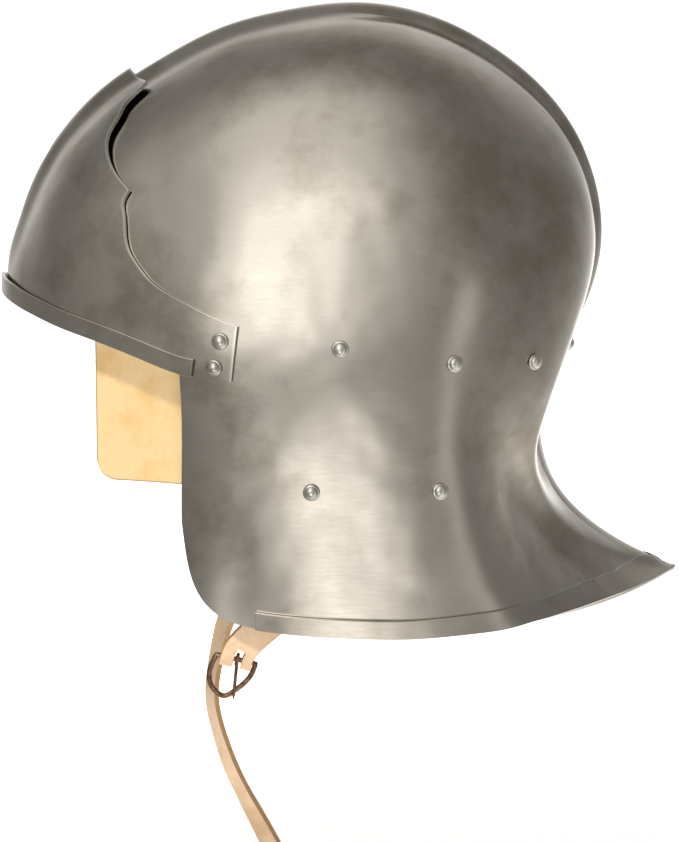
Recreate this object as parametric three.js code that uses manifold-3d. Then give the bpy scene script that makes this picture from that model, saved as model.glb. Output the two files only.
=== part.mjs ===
// Sallet: a one-piece steel helmet with a low comb and a drawn-out tail, a riveted brow plate,
// applied edge bands, a leather head lining and a two-piece chin strap with a bronze buckle.
// Millimetres. +Z is up, the face looks along -Y and the wearer's left is +X.
// The origin lies on the middle plane at the top of the hollow, where a head's crown sits.
import * as THREE from 'three';
import { mergeVertices } from 'three/addons/utils/BufferGeometryUtils.js';
import Module from 'manifold-3d';

const wasm = await Module();
wasm.setup();

// Skull sizes
const SKULL_LENGTH = 316;
const SKULL_HEIGHT = 280;
const HALF_WIDTH = 105;
const STEEL = 1.8;
const COMB_HEIGHT = 6.5;
const COMB_SPREAD = 9;

// Brow plate
const PLATE_STEEL = 1.8;
const PLATE_LIFT = 1.3;

// Edge bands
const BAND_HEIGHT = 8;
const BAND_STEEL = 1.8;

// Lining leather
const LINING_LEATHER = 2;
const LINING_TOP = 0.504 * SKULL_HEIGHT;
const LINING_BOTTOM = 0.789 * SKULL_HEIGHT;
const FLAP_BOTTOM = 0.754 * SKULL_HEIGHT;
const FLAP_EDGE_Y = 0.37 * SKULL_LENGTH;
const FLAP_HALF_WIDTH = 0.629 * HALF_WIDTH;
const FLAP_CORNER = 9;

// Rivets
const HEAD_RADIUS = 3.7;
const HEAD_HEIGHT = 2.6;
const SHANK_RADIUS = 1.7;
const HOLE_RADIUS = 2.1;
const HOLE_DEPTH = 30;
const WASHER_RADIUS = 4;
const WASHER_THICKNESS = 1;

// Strap and buckle
const STRAP_WIDTH = 14.5;
const STRAP_LEATHER = 2.4;
const BUCKLE_X = 0.767 * HALF_WIDTH;
const BUCKLE_Y = -0.174 * SKULL_LENGTH;
const BUCKLE_DROP = 1.039 * SKULL_HEIGHT;
const BEND_ABOVE_BAR = 6;
const BEND_REACH = 12;
const BAR_LENGTH = 18;
const BAR_RADIUS = 1.2;
const FRAME_RADIUS = BAR_RADIUS;
const FRAME_DEPTH = 17.7;
const PRONG_RADIUS = 0.75;
const PRONG_LENGTH = 17.5;
const PRONG_ALONG = 0.5;
const PRONG_LEAN = 2.5;
const SLOT_WIDTH = 3.8;
const SLOT_LENGTH = 11;

// Clearances: between two pieces, under the brow plate, outside the lining, and under washers and straps
const GAP = 0.4;
const PLATE_CLEARANCE = 0.7;
const LINING_CLEARANCE = 1.8;
const WASHER_CLEARANCE = 1.1;
const TAIL_CLEARANCE = 1;

// Sections of the upper skull, from the middle of the brow (0) over the crown to the tip of the tail (1).
// ridgeY and ridgeDrop: the crest of the comb in side view, as shares of the length and of the height.
// earY and earDrop: the ear line that the section ends on. ear: its half width, as a share of HALF_WIDTH.
// crown and side: how far the two Bezier handles reach. lean: outward lean at the ear line.
// keel: how far the shoulders beside the ridge are drawn in.
const UPPER = [
  // t, ridgeY, ridgeDrop, earY, earDrop, ear, crown, side, lean, keel
  [0.000, -0.505, 0.475, -0.505, 0.475, 0.000, 0.60, 0.40, 0.00, 0.000],
  [0.012, -0.504, 0.448, -0.500, 0.479, 0.143, 0.58, 0.42, -0.20, 0.000],
  [0.030, -0.500, 0.411, -0.483, 0.490, 0.290, 0.56, 0.44, -0.20, 0.000],
  [0.055, -0.487, 0.364, -0.449, 0.505, 0.448, 0.55, 0.45, -0.17, 0.000],
  [0.085, -0.468, 0.305, -0.410, 0.519, 0.581, 0.55, 0.48, -0.12, 0.000],
  [0.120, -0.434, 0.236, -0.364, 0.534, 0.686, 0.56, 0.50, -0.08, 0.000],
  [0.170, -0.373, 0.161, -0.305, 0.556, 0.786, 0.58, 0.52, -0.03, 0.000],
  [0.225, -0.293, 0.100, -0.250, 0.578, 0.862, 0.60, 0.54, 0.00, 0.000],
  [0.280, -0.209, 0.049, -0.203, 0.587, 0.914, 0.62, 0.55, 0.02, 0.000],
  [0.350, -0.108, 0.015, -0.123, 0.596, 0.967, 0.63, 0.56, 0.03, 0.000],
  [0.420, 0.000, 0.000, -0.025, 0.601, 1.000, 0.64, 0.56, 0.03, 0.000],
  [0.490, 0.101, 0.016, 0.079, 0.605, 1.000, 0.64, 0.56, 0.03, 0.000],
  [0.560, 0.196, 0.064, 0.142, 0.615, 0.948, 0.64, 0.56, 0.05, 0.000],
  [0.625, 0.288, 0.146, 0.179, 0.636, 0.871, 0.64, 0.56, 0.09, 0.000],
  [0.690, 0.354, 0.264, 0.205, 0.670, 0.781, 0.66, 0.56, 0.16, 0.000],
  [0.750, 0.374, 0.400, 0.221, 0.702, 0.695, 0.66, 0.52, 0.18, 0.019],
  [0.810, 0.339, 0.536, 0.237, 0.736, 0.610, 0.62, 0.48, 0.14, 0.076],
  [0.860, 0.292, 0.657, 0.252, 0.774, 0.529, 0.58, 0.44, 0.08, 0.086],
  [0.900, 0.291, 0.757, 0.277, 0.821, 0.429, 0.50, 0.40, 0.00, 0.048],
  [0.940, 0.340, 0.852, 0.332, 0.882, 0.286, 0.40, 0.36, -0.10, 0.014],
  [0.970, 0.415, 0.914, 0.408, 0.927, 0.129, 0.40, 0.36, -0.15, 0.000],
  [1.000, 0.495, 0.957, 0.495, 0.957, 0.000, 0.40, 0.36, -0.15, 0.000],
];

// Lower edge of the cheeks, neck and tail, from the front edge of the cheek to the tip of the tail.
// rimY and rimDrop: the edge in side view. rim: its half width. flare: outward flare above the edge.
const FACE_EDGE = 0.225;
const LOWER = [
  // t, rimY, rimDrop, rim, flare
  [FACE_EDGE, -0.249, 0.818, 0.800, 0.000],
  [0.250, -0.239, 0.896, 0.810, 0.000],
  [0.280, -0.215, 0.952, 0.829, 0.000],
  [0.315, -0.171, 0.982, 0.852, 0.000],
  [0.350, -0.114, 0.992, 0.886, 0.000],
  [0.420, -0.016, 0.998, 0.924, 0.000],
  [0.490, 0.070, 0.999, 0.938, 0.000],
  [0.560, 0.152, 0.993, 0.929, -0.010],
  [0.625, 0.203, 0.989, 0.895, -0.029],
  [0.690, 0.239, 0.984, 0.838, -0.057],
  [0.750, 0.266, 0.982, 0.781, -0.086],
  [0.810, 0.296, 0.980, 0.705, -0.105],
  [0.860, 0.323, 0.979, 0.624, -0.114],
  [0.900, 0.354, 0.977, 0.529, -0.105],
  [0.940, 0.400, 0.973, 0.371, -0.067],
  [0.970, 0.446, 0.966, 0.200, -0.029],
  [1.000, 0.495, 0.957, 0.000, 0.000],
];

// Height of the comb along the ridge, as shares of COMB_HEIGHT
const COMB = [
  // t, share
  [0.00, 0.00],
  [0.03, 0.50],
  [0.08, 0.78],
  [0.20, 0.92],
  [0.40, 1.00],
  [0.60, 0.92],
  [0.72, 0.70],
  [0.80, 0.38],
  [0.87, 0.22],
  [0.93, 0.18],
  [1.00, 0.00],
];

// Scalloped rear edge of the brow plate: how far back it reaches at each share down the section
const SCALLOP = [
  // down, t
  [0.000, 0.207],
  [0.050, 0.208],
  [0.100, 0.212],
  [0.153, 0.217],
  [0.176, 0.209],
  [0.200, 0.199],
  [0.252, 0.190],
  [0.304, 0.179],
  [0.367, 0.173],
  [0.411, 0.173],
  [0.471, 0.177],
  [0.514, 0.183],
  [0.552, 0.190],
  [0.565, 0.185],
  [0.615, 0.181],
  [0.686, 0.179],
  [0.730, 0.182],
  [0.775, 0.192],
  [0.821, 0.212],
  [0.852, 0.241],
  [0.872, 0.264],
  [0.889, 0.288],
  [0.902, 0.312],
  [0.950, 0.309],
  [1.000, 0.306],
];

// Natural cubic spline through the rows of a table; returns all columns after the first
function spline(rows) {
  const n = rows.length;
  const columns = rows[0].length - 1;
  const bend = rows.map(() => new Array(columns).fill(0));
  for (let c = 0; c < columns; c += 1) {
    const lower = new Array(n).fill(0);
    const right = new Array(n).fill(0);
    for (let i = 1; i < n - 1; i += 1) {
      const before = rows[i][0] - rows[i - 1][0];
      const after = rows[i + 1][0] - rows[i][0];
      const rise = (rows[i + 1][c + 1] - rows[i][c + 1]) / after;
      const fall = (rows[i][c + 1] - rows[i - 1][c + 1]) / before;
      const pivot = 2 * (before + after) - before * lower[i - 1];
      lower[i] = after / pivot;
      right[i] = (6 * (rise - fall) - before * right[i - 1]) / pivot;
    }
    for (let i = n - 2; i > 0; i -= 1) {
      bend[i][c] = right[i] - lower[i] * bend[i + 1][c];
    }
  }
  return (t) => {
    let i = 0;
    while (i < n - 2 && t > rows[i + 1][0]) {
      i += 1;
    }
    const step = rows[i + 1][0] - rows[i][0];
    const d = t - rows[i][0];
    const u = step - d;
    const out = [];
    for (let c = 0; c < columns; c += 1) {
      const curved = (bend[i][c] * u ** 3 + bend[i + 1][c] * d ** 3) / (6 * step);
      const left = (rows[i][c + 1] / step - (bend[i][c] * step) / 6) * u;
      const back = (rows[i + 1][c + 1] / step - (bend[i + 1][c] * step) / 6) * d;
      out.push(curved + left + back);
    }
    return out;
  };
}

// Straight interpolation in a table of two columns
function between(rows, t) {
  let i = 0;
  while (i < rows.length - 2 && t > rows[i + 1][0]) {
    i += 1;
  }
  const share = THREE.MathUtils.clamp((t - rows[i][0]) / (rows[i + 1][0] - rows[i][0]), 0, 1);
  return rows[i][1] + share * (rows[i + 1][1] - rows[i][1]);
}

const upperAt = spline(UPPER);
const lowerAt = spline(LOWER);

const add = (p, q, k = 1) => [p[0] + k * q[0], p[1] + k * q[1], p[2] + k * q[2]];
const sub = (p, q) => [p[0] - q[0], p[1] - q[1], p[2] - q[2]];
const cross = (p, q) => [
  p[1] * q[2] - p[2] * q[1],
  p[2] * q[0] - p[0] * q[2],
  p[0] * q[1] - p[1] * q[0],
];
const size = (p) => Math.hypot(p[0], p[1], p[2]);
const unit = (p) => [p[0] / size(p), p[1] / size(p), p[2] / size(p)];
const mix = (p, q, k) => add(p, sub(q, p), k);

// Height above the origin of a drop below the crest of the comb
const heightOf = (drop) => STEEL - drop * SKULL_HEIGHT;

// Outward normal of the ridge line in the middle plane
function ridgeNormal(t) {
  const a = upperAt(Math.max(t - 0.001, 0));
  const b = upperAt(Math.min(t + 0.001, 1));
  const dy = (b[0] - a[0]) * SKULL_LENGTH;
  const dz = heightOf(b[1]) - heightOf(a[1]);
  const length = Math.hypot(dy, dz);
  return [0, -dz / length, dy / length];
}

const bezier = (p, q, r, s, k) => {
  const m = 1 - k;
  return [0, 1, 2].map(
    (i) => p[i] * m ** 3 + 3 * q[i] * k * m * m + 3 * r[i] * k * k * m + s[i] * k ** 3,
  );
};

// Point of the outer skull: t runs from brow to tail, v from the ridge (0) past the ear line (1)
// to the lower edge (2). A negative v gives the wearer's right side.
function skullPoint(t, v) {
  const [ridgeY, ridgeDrop, earY, earDrop, ear, crown, side, lean, keel] = upperAt(t);
  const normal = ridgeNormal(t);
  const comb = COMB_HEIGHT * between(COMB, t);
  const ridge = add([0, ridgeY * SKULL_LENGTH, heightOf(ridgeDrop)], normal, -comb);
  const half = ear * HALF_WIDTH;
  const earPoint = [half, earY * SKULL_LENGTH, heightOf(earDrop)];
  const shoulder = add(ridge, normal, -keel * HALF_WIDTH);
  shoulder[0] = crown * half;
  const flank = mix(earPoint, ridge, side);
  flank[0] = half * (1 + lean);
  const down = Math.abs(v);
  let point;
  if (down <= 1) {
    point = bezier(ridge, shoulder, flank, earPoint, down);
  } else {
    const [rimY, rimDrop, rim, flare] = lowerAt(t);
    const rimPoint = [rim * HALF_WIDTH, rimY * SKULL_LENGTH, heightOf(rimDrop)];
    const reach = size(sub(rimPoint, earPoint));
    const start = reach > 0 ? add(earPoint, unit(sub(earPoint, flank)), 0.36 * reach) : earPoint;
    const end = mix(rimPoint, earPoint, 0.33);
    end[0] += flare * HALF_WIDTH;
    point = bezier(earPoint, start, end, rimPoint, down - 1);
  }
  point = add(point, normal, comb * Math.exp(-((point[0] / COMB_SPREAD) ** 2)));
  return [v < 0 ? -point[0] : point[0], point[1], point[2]];
}

// Outward normal of the outer skull; the poles at the two ends of the ridge take the ridge's own
function skullNormal(t, v) {
  if (Math.abs(v) < 1e-6 || t < 1e-6 || t > 1 - 1e-6) {
    return ridgeNormal(t);
  }
  const down = Math.abs(v);
  const last = t < FACE_EDGE - 1e-9 ? 1 : 2;
  const first = down > 1 ? FACE_EDGE : 0;
  const ahead = skullPoint(Math.min(t + 0.0015, 1), down);
  const along = sub(ahead, skullPoint(Math.max(t - 0.0015, first), down));
  const lower = skullPoint(t, Math.min(down + 0.004, last));
  const across = sub(lower, skullPoint(t, Math.max(down - 0.004, 0)));
  const n = unit(cross(across, along));
  return [v < 0 ? -n[0] : n[0], n[1], n[2]];
}

const offset = (t, v, d) => add(skullPoint(t, v), skullNormal(t, v), d);

// Evenly divided list from a to b
function steps(a, b, n) {
  return Array.from({ length: n + 1 }, (_, i) => a + ((b - a) * i) / n);
}

const mirrored = (list) => [...list.slice(1).reverse().map((v) => -v), ...list];

// Closed mesh from a list of triangles of points
function closedMesh(triangles) {
  const geometry = new THREE.BufferGeometry();
  geometry.setAttribute('position', new THREE.Float32BufferAttribute(triangles.flat(2), 3));
  const merged = mergeVertices(geometry, 1e-3);
  const index = merged.index.array;
  const kept = [];
  for (let i = 0; i < index.length; i += 3) {
    const [a, b, c] = [index[i], index[i + 1], index[i + 2]];
    if (a !== b && b !== c && c !== a) {
      kept.push(a, b, c);
    }
  }
  merged.setIndex(kept);
  return merged;
}

// Sheet with two faces: outer(i, j) and inner(i, j) give the points, present(i, j) the cells that exist.
// Walls close every free edge.
function sheet(rows, columns, outer, inner, present = () => true) {
  const out = [];
  const has = (i, j) => i >= 0 && j >= 0 && i < rows && j < columns && present(i, j);
  const quad = (a, b, c, d) => out.push([a, b, c], [a, c, d]);
  for (let i = 0; i < rows; i += 1) {
    for (let j = 0; j < columns; j += 1) {
      if (!has(i, j)) {
        continue;
      }
      const o = [outer(i, j), outer(i + 1, j), outer(i + 1, j + 1), outer(i, j + 1)];
      const n = [inner(i, j), inner(i + 1, j), inner(i + 1, j + 1), inner(i, j + 1)];
      if (j < columns / 2) {
        quad(o[0], o[3], o[2], o[1]);
        quad(n[0], n[1], n[2], n[3]);
      } else {
        quad(o[1], o[0], o[3], o[2]);
        quad(n[1], n[2], n[3], n[0]);
      }
      if (!has(i - 1, j)) {
        quad(o[0], n[0], n[3], o[3]);
      }
      if (!has(i + 1, j)) {
        quad(o[1], o[2], n[2], n[1]);
      }
      if (!has(i, j - 1)) {
        quad(o[0], o[1], n[1], n[0]);
      }
      if (!has(i, j + 1)) {
        quad(o[3], n[3], n[2], o[2]);
      }
    }
  }
  return closedMesh(out);
}

// Solid through a row of rings of equal count, closed at both ends by fans
function loft(rings, closed = false) {
  const out = [];
  const n = rings[0].length;
  if (closed) {
    rings = [...rings, rings[0]];
  }
  for (let i = 0; i + 1 < rings.length; i += 1) {
    for (let j = 0; j < n; j += 1) {
      const k = (j + 1) % n;
      out.push([rings[i][j], rings[i][k], rings[i + 1][k]], [rings[i][j], rings[i + 1][k], rings[i + 1][j]]);
    }
  }
  const last = rings[rings.length - 1];
  for (let j = 1; j + 1 < n && !closed; j += 1) {
    out.push([rings[0][0], rings[0][j + 1], rings[0][j]], [last[0], last[j], last[j + 1]]);
  }
  return closedMesh(out);
}

function toSolid(geometry) {
  const clean = geometry.clone();
  clean.deleteAttribute('normal');
  clean.deleteAttribute('uv');
  const merged = mergeVertices(clean, 1e-3);
  const solid = new wasm.Manifold(
    new wasm.Mesh({
      numProp: 3,
      vertProperties: merged.attributes.position.array,
      triVerts: new Uint32Array(merged.index.array),
    }),
  );
  return solid.volume() < 0 ? toSolid(turned(geometry)) : solid;
}

function turned(geometry) {
  const copy = geometry.clone();
  const index = Array.from(copy.index.array);
  for (let i = 0; i < index.length; i += 3) {
    [index[i + 1], index[i + 2]] = [index[i + 2], index[i + 1]];
  }
  copy.setIndex(index);
  return copy;
}

function toGeometry(solid) {
  const mesh = solid.getMesh();
  const geometry = new THREE.BufferGeometry();
  geometry.setAttribute('position', new THREE.Float32BufferAttribute(mesh.vertProperties, 3));
  geometry.setIndex(Array.from(mesh.triVerts));
  geometry.computeVertexNormals();
  return geometry;
}

// Placement with local +Z along a direction
function placed(origin, direction) {
  const turn = new THREE.Quaternion().setFromUnitVectors(
    new THREE.Vector3(0, 0, 1),
    new THREE.Vector3(...direction),
  );
  return new THREE.Matrix4().compose(new THREE.Vector3(...origin), turn, new THREE.Vector3(1, 1, 1));
}

const sallet = new THREE.Group();
sallet.name = 'sallet';

const MATERIALS = {
  steel: { color: 0x8c857b, metalness: 1, roughness: 0.38 },
  leather: { color: 0xdcbf92, metalness: 0, roughness: 0.75 },
  bronze: { color: 0x6b4a38, metalness: 1, roughness: 0.4 },
};

function addPiece(name, kind, solid) {
  const mesh = new THREE.Mesh(toGeometry(solid), new THREE.MeshStandardMaterial(MATERIALS[kind]));
  mesh.name = name;
  sallet.add(mesh);
}

// Place of the rivet that holds the strap, and of the strap's end beyond it
const STRAP_SPOT = [0.522, 1.385];
const STRAP_END = [0.54, 1.365];

// Rivets: where each sits on one side of the skull.
// plated: 1 where the brow plate lies under the head. leathers: how many leathers the shank holds inside.
const RIVETS = [
  // name, t, v, plated, leathers
  ['brow_upper', 0.292, 0.929, 1, 1],
  ['brow_lower', 0.284, 0.978, 1, 1],
  ['ear_front', 0.4155, 0.934, 0, 1],
  ['ear_rear', 0.537, 0.947, 0, 1],
  ['neck_front', 0.697, 0.829, 0, 1],
  ['neck_rear', 0.805, 0.373, 0, 1],
  ['cheek_front', 0.390, 1.401, 0, 1],
  ['cheek_rear', ...STRAP_SPOT, 0, 2],
];

const liningOuter = STEEL + LINING_CLEARANCE;
const liningInner = liningOuter + LINING_LEATHER;
const plateInner = PLATE_CLEARANCE;

// Distance under the head, outside the skull
const rivetSeat = (plated) => (plated ? plateInner + PLATE_STEEL + GAP : GAP);
// Depth of the washer's outer face below the outer skull
const washerDepth = (leathers) =>
  liningInner + WASHER_CLEARANCE + (leathers - 1) * (STRAP_LEATHER + WASHER_CLEARANCE);

function rivetSolid(t, v, plated, leathers) {
  const seat = rivetSeat(plated);
  const deep = -washerDepth(leathers);
  const profile = [
    [0, deep - WASHER_THICKNESS],
    [WASHER_RADIUS, deep - WASHER_THICKNESS],
    [WASHER_RADIUS, deep],
    [SHANK_RADIUS, deep],
    [SHANK_RADIUS, seat],
    [HEAD_RADIUS, seat],
    [HEAD_RADIUS * 0.72, seat + HEAD_HEIGHT * 0.75],
    [0, seat + HEAD_HEIGHT],
  ];
  const lathe = new THREE.LatheGeometry(profile.map(([r, z]) => new THREE.Vector2(r, z)), 8);
  lathe.rotateX(Math.PI / 2);
  lathe.applyMatrix4(placed(skullPoint(t, v), skullNormal(t, v)));
  return toSolid(closedOf(lathe));
}

// Lathe and box geometry as one closed mesh without slivers
function closedOf(geometry) {
  const flat = geometry.toNonIndexed();
  const p = flat.attributes.position.array;
  const triangles = [];
  for (let i = 0; i < p.length; i += 9) {
    triangles.push([
      [p[i], p[i + 1], p[i + 2]],
      [p[i + 3], p[i + 4], p[i + 5]],
      [p[i + 6], p[i + 7], p[i + 8]],
    ]);
  }
  return closedMesh(triangles);
}

// Cutter for a rivet's hole
function holeSolid(t, v) {
  const drill = new THREE.CylinderGeometry(HOLE_RADIUS, HOLE_RADIUS, HOLE_DEPTH, 8);
  drill.rotateX(Math.PI / 2);
  drill.applyMatrix4(placed(skullPoint(t, v), skullNormal(t, v)));
  return toSolid(closedOf(drill));
}

const holes = RIVETS.flatMap(([, t, v]) => [holeSolid(t, v), holeSolid(t, -v)]);
const plateHoles = RIVETS.filter((r) => r[3]).flatMap(([, t, v]) => [holeSolid(t, v), holeSolid(t, -v)]);
const drilled = (solid, cutters) => cutters.reduce((rest, cutter) => rest.subtract(cutter), solid);

// Skull
const skullT = [
  0, 0.012, 0.03, 0.055, 0.085, 0.12, 0.155, 0.19, FACE_EDGE, 0.25, 0.28, 0.315, 0.35, 0.385, 0.42,
  0.455, 0.49, 0.525, 0.56, 0.595, 0.63, 0.66, 0.69, 0.72, 0.75, 0.78, 0.81, 0.835, 0.86, 0.88, 0.9,
  0.92, 0.94, 0.955, 0.97, 0.985, 1,
];
const skullV = mirrored([
  0, 0.025, 0.055, 0.095, 0.16, 0.26, 0.38, 0.52, 0.68, 0.84, 1, 1.24, 1.5, 1.76, 2,
]);
const skullShell = sheet(
  skullT.length - 1,
  skullV.length - 1,
  (i, j) => skullPoint(skullT[i], skullV[j]),
  (i, j) => offset(skullT[i], skullV[j], -STEEL),
  (i, j) => skullT[i] > FACE_EDGE - 1e-6 || (skullV[j] > -1.001 && skullV[j + 1] < 1.001),
);
addPiece('skull', 'steel', drilled(toSolid(skullShell), holes));

// Brow plate: stands a little off the skull along its scalloped edge
const plateV = mirrored([
  0, 0.025, 0.055, 0.095, 0.153, 0.176, 0.2, 0.252, 0.304, 0.367, 0.411, 0.471, 0.514, 0.552,
  0.565, 0.615, 0.686, 0.73, 0.775, 0.821, 0.852, 0.872, 0.889, 0.902, 0.95, 1,
]);
const plateShares = [0, 0.039, 0.098, 0.18, 0.278, 0.392, 0.507, 0.621, 0.735, 0.87, 1];
const plateT = (i, j) => between(SCALLOP, Math.abs(plateV[j])) * plateShares[i];
const plateStand = (i, j) => {
  const rear = THREE.MathUtils.smoothstep(plateShares[i], 0.6, 1);
  const upper = 1 - THREE.MathUtils.smoothstep(Math.abs(plateV[j]), 0.3, 0.6);
  return plateInner + PLATE_LIFT * rear * upper;
};
const plateShell = sheet(
  plateShares.length - 1,
  plateV.length - 1,
  (i, j) => offset(plateT(i, j), plateV[j], plateStand(i, j) + PLATE_STEEL),
  (i, j) => offset(plateT(i, j), plateV[j], plateStand(i, j)),
);
addPiece('brow_plate', 'steel', drilled(toSolid(plateShell), plateHoles));

// Brow band: a straight strip that lies flat against the edge and bridges the hollow beside the comb
const BROW_BAND_END = 0.251;
const browStand = plateInner + PLATE_STEEL + GAP;
const browStops = mirrored([
  0, 0.006, 0.013, 0.022, 0.034, 0.05, 0.07, 0.095, 0.12, 0.15, 0.18, 0.205, 0.23, BROW_BAND_END,
]);
function browRing(s) {
  const t = Math.abs(s);
  const side = s < 0 ? -1 : 1;
  const foot = skullPoint(t, 1);
  const back = skullPoint(Math.max(t - 0.002, 0), 1);
  const along = t === 0 ? [1, 0, 0] : unit(sub(skullPoint(t + 0.002, 1), back));
  const rise = unit(cross(along, skullNormal(Math.max(t, 0.0004), 1)));
  const steep = rise[2] < 0 ? rise.map((x) => -x) : rise;
  const upright = add([0, 0, 1], along, -along[2]);
  const up = unit(mix(upright, steep, THREE.MathUtils.smoothstep(t, 0, 0.07)));
  const normal = unit(cross(along, up));
  const corner = (high, out) => {
    const p = add(add(foot, up, high * BAND_HEIGHT), normal, browStand + out * BAND_STEEL);
    return [t === 0 ? 0 : side * p[0], p[1], p[2]];
  };
  return [corner(0, 0), corner(0, 1), corner(1, 1), corner(1, 0)];
}
addPiece('brow_band', 'steel', toSolid(loft(browStops.map(browRing))));

// Rim band: from one cheek round the tip of the tail to the other cheek
const RIM_BAND_START = 0.331;
const RIM_BAND_TOP = [
  // t, v of the upper edge
  [RIM_BAND_START, 1.926],
  [0.480, 1.925],
  [0.592, 1.915],
  [0.708, 1.900],
  [0.800, 1.882],
  [0.865, 1.850],
  [0.915, 1.790],
  [0.950, 1.660],
  [0.972, 1.350],
  [0.988, 0.000],
];
const rimTopEnd = RIM_BAND_TOP[RIM_BAND_TOP.length - 1][0];
const rimShares = [...steps(0, 0.8, 16), 0.84, 0.88, 0.91, 0.94, 0.96, 0.98, 1];
const rimLeft = rimShares.map((share) => [share, 1]);
const rimRight = rimShares.slice(0, -1).map((share) => [share, -1]);
const rimStops = [...rimLeft, ...rimRight.reverse()];
function rimRing([share, side]) {
  const low = RIM_BAND_START + (1 - RIM_BAND_START) * share;
  const high = RIM_BAND_START + (rimTopEnd - RIM_BAND_START) * share;
  const top = between(RIM_BAND_TOP, high);
  const spot = (k) => [low + (high - low) * k, 2 + (top - 2) * k];
  const corner = (k, out) => {
    const [t, v] = spot(k);
    const stand = GAP + TAIL_CLEARANCE * THREE.MathUtils.smoothstep(share, 0.8, 0.95);
    const p = offset(t, v, stand + out * BAND_STEEL);
    return [share === 1 ? 0 : side * p[0], p[1], p[2]];
  };
  return [corner(0, 0), corner(0, 1), corner(0.5, 1), corner(1, 1), corner(1, 0), corner(0.5, 0)];
}
addPiece('rim_band', 'steel', toSolid(loft(rimStops.map(rimRing))));

// Lining: one leather band that follows the inner wall from flap to flap round the nape.
// Finds where on the skull a level line lies at a bearing round an upright axis (0 is the back).
const AXIS_Y = 0.06 * SKULL_LENGTH;
function levelSpot(bearing, level, guess) {
  let [t, v] = guess;
  const miss = (a, b) => {
    const p = skullPoint(a, b);
    return [p[0] * Math.cos(bearing) - (p[1] - AXIS_Y) * Math.sin(bearing), p[2] - level];
  };
  for (let k = 0; k < 25; k += 1) {
    const m = miss(t, v);
    const mt = sub([...miss(t + 1e-4, v), 0], [...m, 0]).map((x) => x / 1e-4);
    const mv = sub([...miss(t, v + 1e-4), 0], [...m, 0]).map((x) => x / 1e-4);
    const det = mt[0] * mv[1] - mv[0] * mt[1];
    t -= THREE.MathUtils.clamp((m[0] * mv[1] - mv[0] * m[1]) / det, -0.03, 0.03);
    v -= THREE.MathUtils.clamp((mt[0] * m[1] - m[0] * mt[1]) / det, -0.1, 0.1);
  }
  return [t, v];
}

// Where the ridge line of the nape crosses a level
function ridgeSpot(level) {
  let [low, high] = [0.7, 0.99];
  for (let k = 0; k < 40; k += 1) {
    const half = (low + high) / 2;
    if (skullPoint(half, 0)[2] > level) {
      low = half;
    } else {
      high = half;
    }
  }
  return low;
}

const JOIN_BEARING = 137;
const FIRST_BEARING = 87;
const bearings = [
  JOIN_BEARING, 133, 126, 117, 107, 97, FIRST_BEARING, 77, 68, 60, 53, 47, 41, 35, 29, 20, 10,
];
const liningShares = steps(0, 1, 4);
const degrees = Math.PI / 180;

// Level of a lining row: the lower edge steps down behind the cheeks
const liningLevel = (share, bearing) => {
  const low = THREE.MathUtils.smoothstep(JOIN_BEARING - bearing, 0, 16);
  const bottom = FLAP_BOTTOM + (LINING_BOTTOM - FLAP_BOTTOM) * low;
  return -(LINING_TOP + (bottom - LINING_TOP) * share);
};

const liningSpots = liningShares.map((share) => {
  let spot = [0.47, 1.02 + 0.45 * share];
  const found = {};
  for (const b of bearings.filter((x) => x <= FIRST_BEARING)) {
    spot = levelSpot(b * degrees, liningLevel(share, b), spot);
    found[b] = spot;
  }
  spot = found[FIRST_BEARING];
  for (const b of bearings.filter((x) => x > FIRST_BEARING).reverse()) {
    spot = levelSpot(b * degrees, liningLevel(share, b), spot);
    found[b] = spot;
  }
  return [...bearings.map((b) => found[b]), [ridgeSpot(liningLevel(share, 0)), 0]];
});

// Flap in front of the cheek: a level curve that bends in to FLAP_HALF_WIDTH, with a rounded lower corner
const flapShares = [1, 0.94, 0.82, 0.68, 0.5, 0.3, 0.14];
function flapPoint(share, ahead, depth) {
  const row = liningShares.indexOf(share);
  const join = offset(...liningSpots[row][0], -liningOuter);
  const next = offset(...liningSpots[row][1], -liningOuter);
  const slope = (next[0] - join[0]) / (next[1] - join[1]);
  const reach = join[1] + FLAP_EDGE_Y;
  const bend = (join[0] - slope * reach - FLAP_HALF_WIDTH) / reach ** 2;
  const d = reach * ahead;
  const tilt = Math.atan(slope + 2 * bend * d);
  const fromEdge = Math.max(FLAP_CORNER - (reach - d), 0);
  const lift = FLAP_CORNER - Math.sqrt(Math.max(FLAP_CORNER ** 2 - fromEdge ** 2, 0));
  const bottom = FLAP_BOTTOM - lift;
  return [
    join[0] - slope * d - bend * d * d - depth * Math.cos(tilt),
    join[1] - d + depth * Math.sin(tilt),
    -(LINING_TOP + (bottom - LINING_TOP) * share),
  ];
}

const liningColumns = flapShares.length + bearings.length + 1;
function liningPoint(row, column, depth) {
  const turnedSide = column >= liningColumns;
  const k = turnedSide ? 2 * (liningColumns - 1) - column : column;
  const p =
    k < flapShares.length
      ? flapPoint(liningShares[row], flapShares[k], depth)
      : offset(...liningSpots[row][k - flapShares.length], -liningOuter - depth);
  return [turnedSide ? -p[0] : p[0], p[1], p[2]];
}
const liningShell = sheet(
  liningShares.length - 1,
  2 * (liningColumns - 1),
  (i, j) => liningPoint(i, j, 0),
  (i, j) => liningPoint(i, j, LINING_LEATHER),
);
addPiece('lining', 'leather', drilled(toSolid(liningShell), holes));

// Rivets
for (const [name, t, v, plated, leathers] of RIVETS) {
  addPiece(`rivet_${name}_left`, 'steel', rivetSolid(t, v, plated, leathers));
  addPiece(`rivet_${name}_right`, 'steel', rivetSolid(t, -v, plated, leathers));
}

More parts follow.
